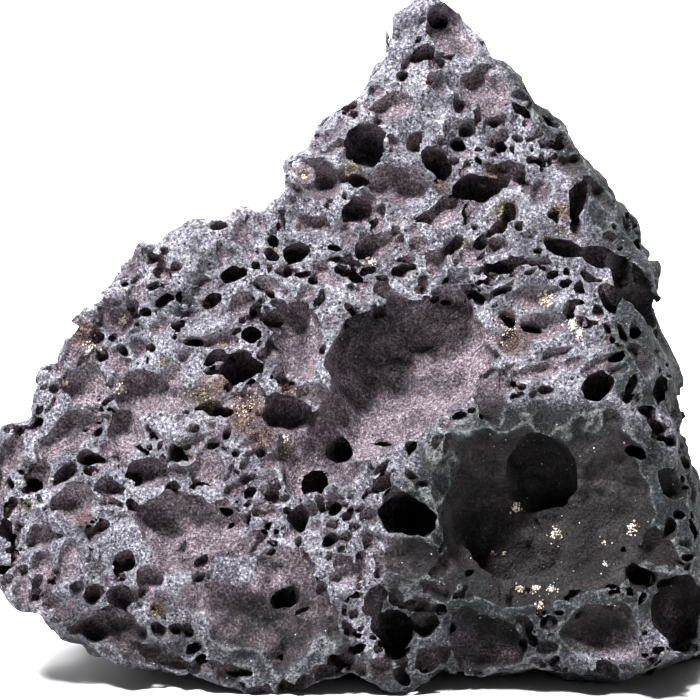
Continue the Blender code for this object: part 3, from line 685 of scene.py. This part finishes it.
def lattice_drawn(points):
    """Across, up and behind of points given in lattice steps."""
    return (
        np.interp(points[:, 2], np.arange(len(ACROSS)), ACROSS),
        np.interp(points[:, 1], np.arange(len(UP)), UP),
        np.interp(points[:, 0], np.arange(len(BEHIND)), BEHIND),
    )


def read_field(field, across, up, behind):
    """The field at drawn points: the eight lattice values around each, weighted by nearness on each axis."""
    value = 0.0
    steps = [
        np.clip(np.interp(v, places, np.arange(len(places))), 0, len(places) - 1.001)
        for v, places in ((behind, BEHIND), (up, UP), (across, ACROSS))
    ]
    low = [np.floor(s).astype(int) for s in steps]
    part = [s - l for s, l in zip(steps, low)]
    for corner in ((i, j, k) for i in (0, 1) for j in (0, 1) for k in (0, 1)):
        share = 1.0
        for axis, side in enumerate(corner):
            share = share * (part[axis] if side else 1 - part[axis])
        value = value + share * field[tuple(l + side for l, side in zip(low, corner))]
    return value


def new_mesh(name, points, faces):
    """Puts arrays of points in mm and of faces with equal corners into a mesh."""
    mesh = bpy.data.meshes.new(name)
    corners = faces.shape[1]
    mesh.vertices.add(len(points))
    mesh.vertices.foreach_set("co", (points * MM).astype(np.float32).ravel())
    mesh.loops.add(faces.size)
    mesh.loops.foreach_set("vertex_index", faces.astype(np.int32).ravel())
    mesh.polygons.add(len(faces))
    mesh.polygons.foreach_set("loop_start", np.arange(0, faces.size, corners, dtype=np.int32))
    mesh.update(calc_edges=True)
    mesh.validate()
    return mesh


def add_piece(name, mesh, material, rides="root"):
    """Links a finished piece, gives it its material and says which body it rides on."""
    piece = bpy.data.objects.new(name, mesh)
    bpy.context.scene.collection.objects.link(piece)
    piece.data.materials.append(material)
    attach(piece, rides)
    return piece


def mesh_arrays(mesh):
    """The mesh's points in mm and its normals, as arrays."""
    points = np.empty(len(mesh.vertices) * 3, np.float32)
    normals = np.empty(len(mesh.vertices) * 3, np.float32)
    mesh.vertices.foreach_get("co", points)
    mesh.vertices.foreach_get("normal", normals)
    return points.reshape(-1, 3) / MM, normals.reshape(-1, 3)


points, quads = surface_points(rock)
body = largest_body(len(points), quads)
quads = quads[body[quads[:, 0]]]
kept = np.cumsum(body) - 1
points, quads = rock_place(*lattice_drawn(points[body])), kept[quads]
raw = new_mesh("skin", points, quads)
skin = bpy.data.objects.new("skin", raw)
bpy.context.scene.collection.objects.link(skin)
facing_away = skin.vertex_groups.new(name="facing away")
away = mesh_arrays(raw)[1] @ FORWARD > FACING_AWAY
facing_away.add(np.flatnonzero(away).tolist(), AWAY_WEIGHT, "REPLACE")
facing_away.add(np.flatnonzero(~away).tolist(), FRONT_WEIGHT, "REPLACE")
fewer = skin.modifiers.new("fewer faces", "DECIMATE")
fewer.vertex_group = facing_away.name
fewer.vertex_group_factor = FRONT_CARE
fewer.ratio = SKIN_TRIANGLES / (2 * len(quads))
fewer.use_collapse_triangulate = True
graph = bpy.context.evaluated_depsgraph_get()
mesh = bpy.data.meshes.new_from_object(skin.evaluated_get(graph))
bpy.data.objects.remove(skin)
mesh.name = "volcanic rock"
mesh.polygons.foreach_set("use_smooth", np.ones(len(mesh.polygons), bool))
mesh.set_sharp_from_angle(angle=SHARP_ANGLE)
points, normals = mesh_arrays(mesh)
across, up, behind = drawn_place(points)
under_break = -read_field(broken, across, up, behind)
beside_bubble = -read_field(cut, across, up, behind)


def keep_values(name, values):
    """Stores one number per point of the skin under a name that its material reads."""
    mesh.attributes.new(name, "FLOAT", "POINT").data.foreach_set("value", values.astype(np.float32))


keep_values("below_break", under_break)
# Paler where a bubble meets the break: partly wear, partly a painted highlight
keep_values("rim_wear_and_highlight", np.exp(-np.maximum(np.abs(under_break), np.abs(beside_bubble)) / RIM_WIDTH))

# Weathered places and painted shade
# Long in the open, lava darkens and turns a greenish charcoal: here the flank, the back, the foot and the
# lower hollows. On the flank, the foot and the lower hollows the darkening is also painted shade. The flank
# begins right of a ridge, given as up and across. The ovals lie on the front alone: across, up, half width,
# half height, strength. The last two are painted shade alone, on the deep shaded linings of the great hollow
# and the bowl beside it.
RIDGE = (
    (56, 134), (62, 120), (70, 120), (86, 122), (97, 116), (102, 114), (110, 109), (118, 104), (128, 98),
    (134, 94), (139, 87),
)
PATINA_AND_SHADE_OVALS = (
    (110.0, 35.0, 33.0, 27.0, 1.15), (88.0, 16.0, 13.0, 28.0, 0.9), (56.0, 10.0, 15.0, 13.0, 0.85),
    (20.0, 8.0, 26.0, 9.0, 0.75), (75.5, 71.0, 10.0, 10.5, 0.55), (57.0, 71.5, 7.0, 7.0, 0.35),
)
FLANK_PATINA_AND_SHADE = 0.98
BACK_PATINA = 0.55
FOOT_PATINA_AND_SHADE = 0.6
RIGHT_FOOT_PATINA_AND_SHADE = 0.4

# Where they fade in or out, in mm: right of the ridge, behind the drawing plane for ovals and for the back,
# up from the foot, and along the foot to its darker right. An oval's edge is in shares of its half sizes.
PAST_RIDGE = (-1.0, 3.0)
FRONT_ENDS = (2.0, 16.0)
BACK_BEGINS = (8.0, 24.0)
FOOT_ENDS = (4.0, 13.0)
FOOT_DARKENS = (60.0, 90.0)
OVAL_EDGE = (0.8, 1.15)


def smooth_step(low, high, value):
    """0 below low, 1 above high, 3 t^2 - 2 t^3 between."""
    t = np.clip((value - low) / (high - low), 0, 1)
    return t * t * (3 - 2 * t)


past_ridge = across - np.interp(up, [u for u, _ in RIDGE], [a for _, a in RIDGE])
patina_and_shade = FLANK_PATINA_AND_SHADE * smooth_step(*PAST_RIDGE, past_ridge)
on_front = 1 - smooth_step(*FRONT_ENDS, behind)
for middle_across, middle_up, half_width, half_height, strength in PATINA_AND_SHADE_OVALS:
    away = np.hypot((across - middle_across) / half_width, (up - middle_up) / half_height)
    patina_and_shade = np.maximum(patina_and_shade, strength * on_front * (1 - smooth_step(*OVAL_EDGE, away)))
patina_and_shade = np.maximum(patina_and_shade, BACK_PATINA * smooth_step(*BACK_BEGINS, behind))
foot = FOOT_PATINA_AND_SHADE + RIGHT_FOOT_PATINA_AND_SHADE * smooth_step(*FOOT_DARKENS, across)
patina_and_shade = np.maximum(patina_and_shade, foot * (1 - smooth_step(*FOOT_ENDS, up)))
keep_values("patina_and_painted_shade", patina_and_shade)

# Mineral stains
# Where olivine and rusty pyroxene grew, the lava round their grains is stained olive or red brown. Cream
# zeolite leaves no stain. Each spot: across, up, spread, how many grains lie there, half size of a grain.
OLIVINE = (
    (41.2, 60.6, 2.6, 110, 0.24), (101.0, 98.0, 2.0, 80, 0.24), (70.6, 106.4, 1.8, 60, 0.22),
    (41.4, 79.4, 1.3, 34, 0.20), (33.0, 68.0, 1.0, 26, 0.20), (5.6, 39.0, 1.2, 30, 0.20),
    (60.6, 105.4, 1.0, 26, 0.20), (111.4, 98.2, 1.4, 40, 0.22), (54.8, 90.6, 1.2, 30, 0.20),
    (93.0, 91.6, 0.7, 14, 0.20), (31.2, 17.6, 1.1, 26, 0.20), (36.5, 50.5, 1.5, 24, 0.18),
    (57.0, 50.0, 1.2, 20, 0.18), (109.2, 92.6, 0.8, 16, 0.18), (112.2, 94.0, 0.9, 20, 0.18),
    (115.0, 93.4, 0.8, 16, 0.18),
)
RUSTY = (
    (16.4, 73.0, 2.6, 90, 0.23), (49.0, 57.0, 3.6, 190, 0.24), (57.6, 62.4, 1.6, 44, 0.22),
    (98.6, 104.6, 1.6, 50, 0.22), (88.0, 103.0, 1.4, 36, 0.20), (113.0, 97.6, 1.4, 44, 0.22),
    (102.8, 72.0, 3.0, 110, 0.22), (31.6, 18.4, 1.5, 44, 0.22), (53.0, 52.4, 2.2, 80, 0.22),
    (44.6, 63.0, 2.0, 60, 0.20), (101.4, 76.4, 1.6, 36, 0.20), (127.0, 34.6, 1.3, 24, 0.18),
    (17.0, 36.0, 1.8, 30, 0.18),
)
CREAM = (
    (24.6, 76.0, 0.7, 40, 0.24), (13.0, 63.4, 0.6, 34, 0.24), (24.2, 62.4, 0.7, 34, 0.24),
    (74.0, 87.8, 0.8, 40, 0.25), (109.2, 80.2, 1.0, 60, 0.26), (114.6, 75.2, 0.9, 50, 0.25),
    (116.0, 73.4, 0.7, 30, 0.24), (103.2, 38.4, 0.8, 34, 0.22), (104.0, 22.4, 0.8, 34, 0.23),
    (107.0, 22.2, 0.8, 34, 0.23), (110.4, 22.2, 0.8, 28, 0.23), (108.0, 19.0, 0.8, 24, 0.22),
    (126.2, 34.4, 1.0, 34, 0.22), (121.0, 31.6, 0.4, 12, 0.19), (121.0, 27.4, 0.4, 14, 0.19),
    (98.6, 29.4, 0.4, 12, 0.18), (101.0, 29.4, 0.4, 10, 0.18), (20.6, 69.6, 0.5, 20, 0.22),
    (111.0, 33.2, 1.4, 40, 0.19), (96.6, 102.8, 0.4, 14, 0.22), (60.8, 104.6, 0.4, 16, 0.22),
    (90.6, 100.4, 0.4, 12, 0.20), (57.2, 52.4, 0.7, 20, 0.22), (102.0, 74.0, 1.5, 40, 0.20),
    (49.0, 59.0, 1.8, 40, 0.20), (18.0, 71.0, 1.2, 26, 0.20),
)
STAIN_SPREAD = 1.5
STAIN_DEPTH = 12


def stain(spots):
    """The largest over the spots of exp(-(distance / stain's spread)^2), on the front only."""
    value = np.zeros(len(points))
    for spot_across, spot_up, spread, *_ in spots:
        away = np.hypot(across - spot_across, up - spot_up) / (STAIN_SPREAD * spread)
        value = np.maximum(value, np.exp(-away * away))
    return value * (behind < STAIN_DEPTH)


keep_values("olive_stain", stain(OLIVINE))
keep_values("rust_stain", stain(RUSTY))

# Basalt
# Broken lava is a salt-and-pepper of pale feldspar laths and dark pyroxene in grey glass, very matt. The wall
# of a bubble is a thin skin of chilled glass, smoother and warmer, a mauve brown.


def colour(hex_code):
    """An sRGB hex code as the linear colour that a shader takes."""
    channels = [int(hex_code[i : i + 2], 16) / 255 for i in (1, 3, 5)]
    return [c / 12.92 if c <= 0.04045 else ((c + 0.055) / 1.055) ** 2.4 for c in channels] + [1.0]


def new_material(name):
    """An empty material with its shader and output."""
    material = bpy.data.materials.new(name)
    material.use_nodes = True
    tree = material.node_tree
    return material, tree, tree.nodes["Principled BSDF"]


def add(tree, kind, links=(), inputs=(), **settings):
    """Adds a node, sets its fields and sockets, and links its inputs: (input, other node, its output)."""
    node = tree.nodes.new(kind)
    for field, value in settings.items():
        setattr(node, field, value)
    for socket, value in dict(inputs).items():
        node.inputs[socket].default_value = value
    for socket, source, output in links:
        tree.links.new(source.outputs[output], node.inputs[socket])
    return node


# Sizes in mm that set the patterns: the broken grain, the sand on the linings, cloudy blotches, low lumps,
# the pinholes and the pale flecks. Real grain and sand are nearer 0.2 mm, too fine to show from here, so they
# are drawn coarser. Each noise also has its detail, in halvings of the size, and its roughness.
GRAIN = (0.6, 2.5, 0.80)
SAND = (0.55, 2.0, 0.90)
BLOTCH = (6.0, 5.0, 0.65)
LUMP = (2.2, 3.0, 0.6)
PINHOLE_SPACING = 1.15
FLECK_SPACING = 1.3

# From pyroxene through grey glass to feldspar, and from the dark to the light sand of a lining
PEPPER = ((0.34, "#171519"), (0.44, "#4d4b54"), (0.51, "#6d6b75"), (0.58, "#84828d"), (0.68, "#c8c7d0"))
GLAZE = ((0.33, "#2c2429"), (0.46, "#5b5057"), (0.57, "#796e76"), (0.70, "#b0a5ad"))

# Height of the relief in mm, and what counts in it: lumps, and pinholes, which go down
RELIEF = 0.5
LUMP_SHARE = 2.6
PINHOLE_SHARE = -0.5


def per_metre(size):
    """The texture scale at which a pattern repeats once in a size in mm."""
    return 1 / (size * MM)


def tones(tree, source, stops):
    """A ramp through hex colours at places from 0 to 1, read by a (node, output) pair."""
    ramp = add(tree, "ShaderNodeValToRGB", [("Fac", *source)])
    elements = ramp.color_ramp.elements
    elements[0].position, elements[0].color = stops[0][0], colour(stops[0][1])
    elements[1].position, elements[1].color = stops[-1][0], colour(stops[-1][1])
    for position, tone in stops[1:-1]:
        elements.new(position).color = colour(tone)
    return ramp, "Color"


def noise(tree, place, size, detail, roughness):
    """Noise on the rock's own coordinates whose largest lumps have a size in mm."""
    inputs = {"Scale": per_metre(size), "Detail": detail, "Roughness": roughness}
    return add(tree, "ShaderNodeTexNoise", [("Vector", place, "Object")], inputs)


def ranged(tree, source, low, high, start=0.0, end=1.0):
    """Turns values of a (node, output) pair from low to high into values from start to end, smoothly."""
    inputs = {"From Min": low, "From Max": high, "To Min": start, "To Max": end}
    links = [("Value", *source)]
    return add(tree, "ShaderNodeMapRange", links, inputs, interpolation_type="SMOOTHSTEP"), "Result"


def mixed(tree, factor, first, second, blend="MIX"):
    """Mixes two colours, each a (node, output) pair or a hex code, by a (node, output) pair."""
    links, inputs = [("Factor", *factor)], {}
    for socket, given in (("A", first), ("B", second)):
        if isinstance(given, str):
            inputs[socket] = colour(given)
        else:
            links.append((socket, *given))
    return add(tree, "ShaderNodeMix", links, inputs, data_type="RGBA", blend_type=blend), "Result"


def sum_of(tree, first, second, share=1.0):
    """First times a share, plus second; each a (node, output) pair, or for the second a number."""
    links, inputs = [(0, *first)], {1: share}
    if isinstance(second, tuple):
        links.append((2, *second))
    else:
        inputs[2] = second
    return add(tree, "ShaderNodeMath", links, inputs, operation="MULTIPLY_ADD"), "Value"


def product(tree, first, second):
    """First times second, each a (node, output) pair."""
    return add(tree, "ShaderNodeMath", [(0, *first), (1, *second)], operation="MULTIPLY"), "Value"


def dots(tree, place, spacing, channel, growth, least):
    """How far inside a round dot each place is: growth * chance + least, minus the distance to its middle."""
    cells = add(tree, "ShaderNodeTexVoronoi", [("Vector", place, "Object")], {"Scale": per_metre(spacing)})
    chance = add(tree, "ShaderNodeSeparateColor", [("Color", cells, "Color")])
    radius = sum_of(tree, (chance, channel), least, growth)
    return sum_of(tree, (cells, "Distance"), radius, -1.0)


def basalt():
    """Grain or lining by depth under the break, then weathering with painted shade, pale rims with a painted
    highlight, stains, pinholes painted dark as shade, and flecks partly painted as glints.
    """
    material, tree, shader = new_material("basalt, broken and bubble-lined")
    place = add(tree, "ShaderNodeTexCoord")
    depth, rim_wear_and_highlight, patina_shade_mask, olive, rust = (
        (add(tree, "ShaderNodeAttribute", attribute_name=name), "Fac")
        for name in ("below_break", "rim_wear_and_highlight", "patina_and_painted_shade", "olive_stain", "rust_stain")
    )
    grain, sand, blotch, lump = ((noise(tree, place, *kind), "Fac") for kind in (GRAIN, SAND, BLOTCH, LUMP))

    # Grey broken grain gives way to the warmer, darker lining about a millimetre under the break, unevenly
    uneven = sum_of(tree, grain, -0.8, 1.6)
    lining = ranged(tree, sum_of(tree, depth, uneven), 0.35, 1.3)
    face = mixed(tree, lining, tones(tree, grain, PEPPER), tones(tree, sand, GLAZE))

    # Weathering darkens and greens both in patches, partly as painted shade, and clouds make the tone vary
    # over a few millimetres
    veil = ranged(tree, sum_of(tree, blotch, patina_shade_mask), 0.55, 1.65)
    veiled = mixed(tree, veil, face, mixed(tree, lining, "#555e5c", "#585b58"), "MULTIPLY")
    cloudy = mixed(tree, ranged(tree, blotch, 0.38, 0.62, 0.0, 0.75), veiled, "#85808a", "MULTIPLY")

    # The thin edges of the bubbles are rubbed paler and carry a painted highlight, and minerals stain the
    # grain olive and red brown
    rims_paled_and_highlit = mixed(tree, ranged(tree, product(tree, rim_wear_and_highlight, sand), 0.22, 0.60, 0.0, 0.55), cloudy, "#8f9293")
    olive_patch = ranged(tree, product(tree, olive, sand), 0.20, 0.42, 0.0, 0.80)
    gilded = mixed(tree, olive_patch, rims_paled_and_highlit, "#8e8455", "MULTIPLY")
    rust_patch = ranged(tree, product(tree, rust, grain), 0.20, 0.42, 0.0, 0.75)
    stained = mixed(tree, rust_patch, gilded, "#a37466", "MULTIPLY")

    # Pinholes are scarcer in the linings and are painted near black as painted shade inside them, and pale
    # flecks, partly painted glints, lie all over
    holes = dots(tree, place, PINHOLE_SPACING, "Red", 0.45, -0.12)
    pinhole_and_its_shade = ranged(tree, sum_of(tree, lining, holes, -0.14), 0.0, 0.08)
    fleck_and_glint = ranged(tree, dots(tree, place, FLECK_SPACING, "Green", 0.24, -0.10), 0.0, 0.05, 0.0, 0.8)
    flecked_and_glinting = mixed(tree, fleck_and_glint, mixed(tree, pinhole_and_its_shade, stained, "#1a171a"), "#c4c0c0")
    tree.links.new(flecked_and_glinting[0].outputs[flecked_and_glinting[1]], shader.inputs["Base Color"])

    # The relief that breaks the light into grains: sand and grain on low lumps, with the pinholes let in
    rough = sum_of(tree, lump, sum_of(tree, grain, sand), LUMP_SHARE)
    relief = sum_of(tree, pinhole_and_its_shade, rough, PINHOLE_SHARE)
    bump = add(tree, "ShaderNodeBump", [("Height", *relief)], {"Strength": 0.9, "Distance": RELIEF * MM})
    tree.links.new(bump.outputs["Normal"], shader.inputs["Normal"])
    shader.inputs["Roughness"].default_value = 0.9
    shader.inputs["Specular IOR Level"].default_value = 0.25
    return material


rock_piece = add_piece("volcanic_rock", mesh, basalt())
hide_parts("rock")

# Crystals
# Small grains grown on the lava or left standing when it broke: olive and gold olivine, rusty pyroxene, and
# cream crusts of zeolite. Each is an uneven lump of twenty faces, and they lie in loose clusters. Off the
# front, clusters are strewn by chance, mostly behind and above.
CLUSTER_TIGHTNESS = 1.6
GRAIN_SIZES = (0.6, 1.3)
GRAIN_STRETCH = (0.6, 1.2)
CORNER_REACH = (0.75, 1.2)
HIDDEN_CLUSTERS = 14
HIDDEN_GRAINS = 40
HIDDEN_GRAIN_SIZE = 0.22
HIDDEN_SPREAD = 1.2
HIDDEN_FROM = 200
HIDDEN_WAY = ((1, 1, 0.6), (0, 0.9, 0.1))
MINERAL_TONE = (0.6, 1.0, 0.5)


def icosahedron():
    """Its twelve corners and twenty faces: (0, 1, golden) and its turns, joined by nearness."""
    golden = (1 + math.sqrt(5)) / 2
    base = [(0, a, b * golden) for a in (-1, 1) for b in (-1, 1)]
    corners = np.array([np.roll(c, turn) for turn in range(3) for c in base])
    gaps = np.linalg.norm(corners[:, None] - corners[None], axis=2)
    faces = []
    for i, j, k in itertools.combinations(range(12), 3):
        if max(gaps[i, j], gaps[j, k], gaps[i, k]) < 2.1:
            outward = np.dot(np.cross(corners[j] - corners[i], corners[k] - corners[i]), corners[i]) > 0
            faces.append((i, j, k) if outward else (i, k, j))
    return corners / np.linalg.norm(corners[0]), np.array(faces)


def random_turns(chance, count):
    """Rotation matrices by chance: the orthogonal part of random square matrices, none of them mirrored."""
    turns = np.linalg.qr(chance.standard_normal((count, 3, 3)))[0]
    return turns * np.sign(np.linalg.det(turns))[:, None, None]


def touch(start, way):
    """Where a ray in mm first meets the skin, or None."""
    hit = skin_tree.ray_cast(Vector(start) * MM, Vector(way).normalized())[0]
    return None if hit is None else np.array(hit) / MM


def strewn(spots, chance):
    """Places and sizes of grains: met by sight lines near each spot, then by lines to the core."""
    found = []
    for spot_across, spot_up, spread, count, size in spots:
        for _ in range(count):
            x, y = chance.normal(0, spread / CLUSTER_TIGHTNESS, 2)
            aim = rock_place(spot_across + x, spot_up + y, 0.0)
            found.append((touch(EYE, aim - EYE), size * chance.uniform(*GRAIN_SIZES)))
    core = np.array(SCATTER_CORE)
    for _ in range(HIDDEN_CLUSTERS):
        way = chance.standard_normal(3) * HIDDEN_WAY[0] + HIDDEN_WAY[1]
        for _ in range(HIDDEN_GRAINS):
            start = core + way / np.linalg.norm(way) * HIDDEN_FROM + chance.normal(0, HIDDEN_SPREAD, 3)
            found.append((touch(start, core - start), HIDDEN_GRAIN_SIZE * chance.uniform(*GRAIN_SIZES)))
    found = [(place, size) for place, size in found if place is not None]
    return np.array([place for place, _ in found]), np.array([size for _, size in found])


def clusters(name, spots, seed, material):
    """One mesh of grains: centre + turn (corner * push * stretch * size), the push chance for each corner."""
    chance = np.random.default_rng(seed)
    centres, sizes = strewn(spots, chance)
    corners, faces = icosahedron()
    stretched = sizes[:, None] * chance.uniform(*GRAIN_STRETCH, (len(centres), 3))
    pushed = corners[None] * chance.uniform(*CORNER_REACH, (len(centres), len(corners), 1))
    uneven = pushed * stretched[:, None]
    points = centres[:, None] + np.einsum("nij,nvj->nvi", random_turns(chance, len(centres)), uneven)
    indices = faces[None] + len(corners) * np.arange(len(centres))[:, None, None]
    return add_piece(name, new_mesh(name, points.reshape(-1, 3), indices.reshape(-1, 3)), material)


def crystal(name, dark, light, roughness):
    """A mineral whose tone changes from grain to grain: noise of about a grain's size through two colours."""
    material, tree, shader = new_material(name)
    grain = noise(tree, add(tree, "ShaderNodeTexCoord"), *MINERAL_TONE), "Fac"
    tone, output = tones(tree, grain, ((0.38, dark), (0.62, light)))
    tree.links.new(tone.outputs[output], shader.inputs["Base Color"])
    shader.inputs["Roughness"].default_value = roughness
    return material


skin_tree = BVHTree.FromObject(rock_piece, bpy.context.evaluated_depsgraph_get())

# Olivine gives small olive and gold glints, rusted pyroxene a dull red brown, zeolite a chalky cream
clusters("olivine_grains", OLIVINE, 61, crystal("olivine, olive and gold", "#29261b", "#756a4e", 0.6))
clusters("rusty_grains", RUSTY, 62, crystal("pyroxene gone rusty", "#2b2020", "#6e4f45", 0.7))
clusters("cream_crusts", CREAM, 63, crystal("zeolite crust, chalky cream", "#8f8373", "#d3c6b4", 0.9))

# The table and the light
# A pale paper sheet that runs under the rock and up behind it. One soft light high in front on the left gives
# the shaded holes, a very weak one on the right opens them a little, and one behind keeps the sheet pale.
SHEET_FRONT = -1500.0
SHEET_DEPTH = 1100.0
SHEET_BEND = 500.0
SHEET_HEIGHT = 1500.0
SHEET_HALF_WIDTH = 2200.0


def studio_sheet():
    """A floor that bends up into a wall: a profile of floor, quarter circle and wall, carried along X."""
    turns = np.linspace(0, math.pi / 2, 17)
    y = np.concatenate(([SHEET_FRONT], SHEET_DEPTH + SHEET_BEND * np.sin(turns), [SHEET_DEPTH + SHEET_BEND]))
    z = np.concatenate(([0.0], SHEET_BEND - SHEET_BEND * np.cos(turns), [SHEET_HEIGHT]))
    profile = np.stack((y, z), 1)
    rows = [np.insert(profile, 0, x, axis=1) for x in (-SHEET_HALF_WIDTH, SHEET_HALF_WIDTH)]
    points = np.concatenate(rows)
    n = len(profile)
    low = np.arange(n - 1)
    return new_mesh("studio sheet", points, np.stack((low, low + n, low + n + 1, low + 1), 1))


def paper():
    """Matt paper with no grain to see from here: it takes the shadow and throws little light back."""
    material, _, shader = new_material("matt white paper")
    shader.inputs["Base Color"].default_value = colour("#cfcfcf")
    shader.inputs["Roughness"].default_value = 0.9
    return material


sheet = bpy.data.objects.new("studio_sheet", studio_sheet())
bpy.context.scene.collection.objects.link(sheet)
sheet.data.materials.append(paper())


def softbox(name, place, aim, size, watts):
    """A square light at a place in mm that faces a point."""
    light = bpy.data.lights.new(name, "AREA")
    light.size = size * MM
    light.energy = watts
    lamp = bpy.data.objects.new(name, light)
    bpy.context.scene.collection.objects.link(lamp)
    lamp.location = Vector(place) * MM
    lamp.rotation_euler = (Vector(aim) - Vector(place)).to_track_quat("-Z", "Y").to_euler()


softbox("key", place=(-420, -500, 1160), aim=(0, -20, 60), size=260, watts=73)
softbox("fill", place=(700, -900, 300), aim=(0, 0, 50), size=600, watts=0.6)
softbox("backdrop wash", place=(0, 700, 1400), aim=(0, 1500, 300), size=900, watts=130)

# The room is white where it is seen past the sheet, and lights the rock hardly at all: holes stay dark
ROOM_LIGHT = 0.03
ROOM_LOOK = 0.85
world = bpy.data.worlds.new("room")
bpy.context.scene.world = world
world.use_nodes = True
room_glow = world.node_tree.nodes["Background"]
room_glow.inputs["Color"].default_value = colour("#ffffff")
seen = add(world.node_tree, "ShaderNodeLightPath")
brightness = add(
    world.node_tree, "ShaderNodeMapRange", [("Value", seen, "Is Camera Ray")],
    {"To Min": ROOM_LIGHT, "To Max": ROOM_LOOK},
)
world.node_tree.links.new(brightness.outputs["Result"], room_glow.inputs["Strength"])
bpy.context.scene.view_settings.view_transform = "Standard"
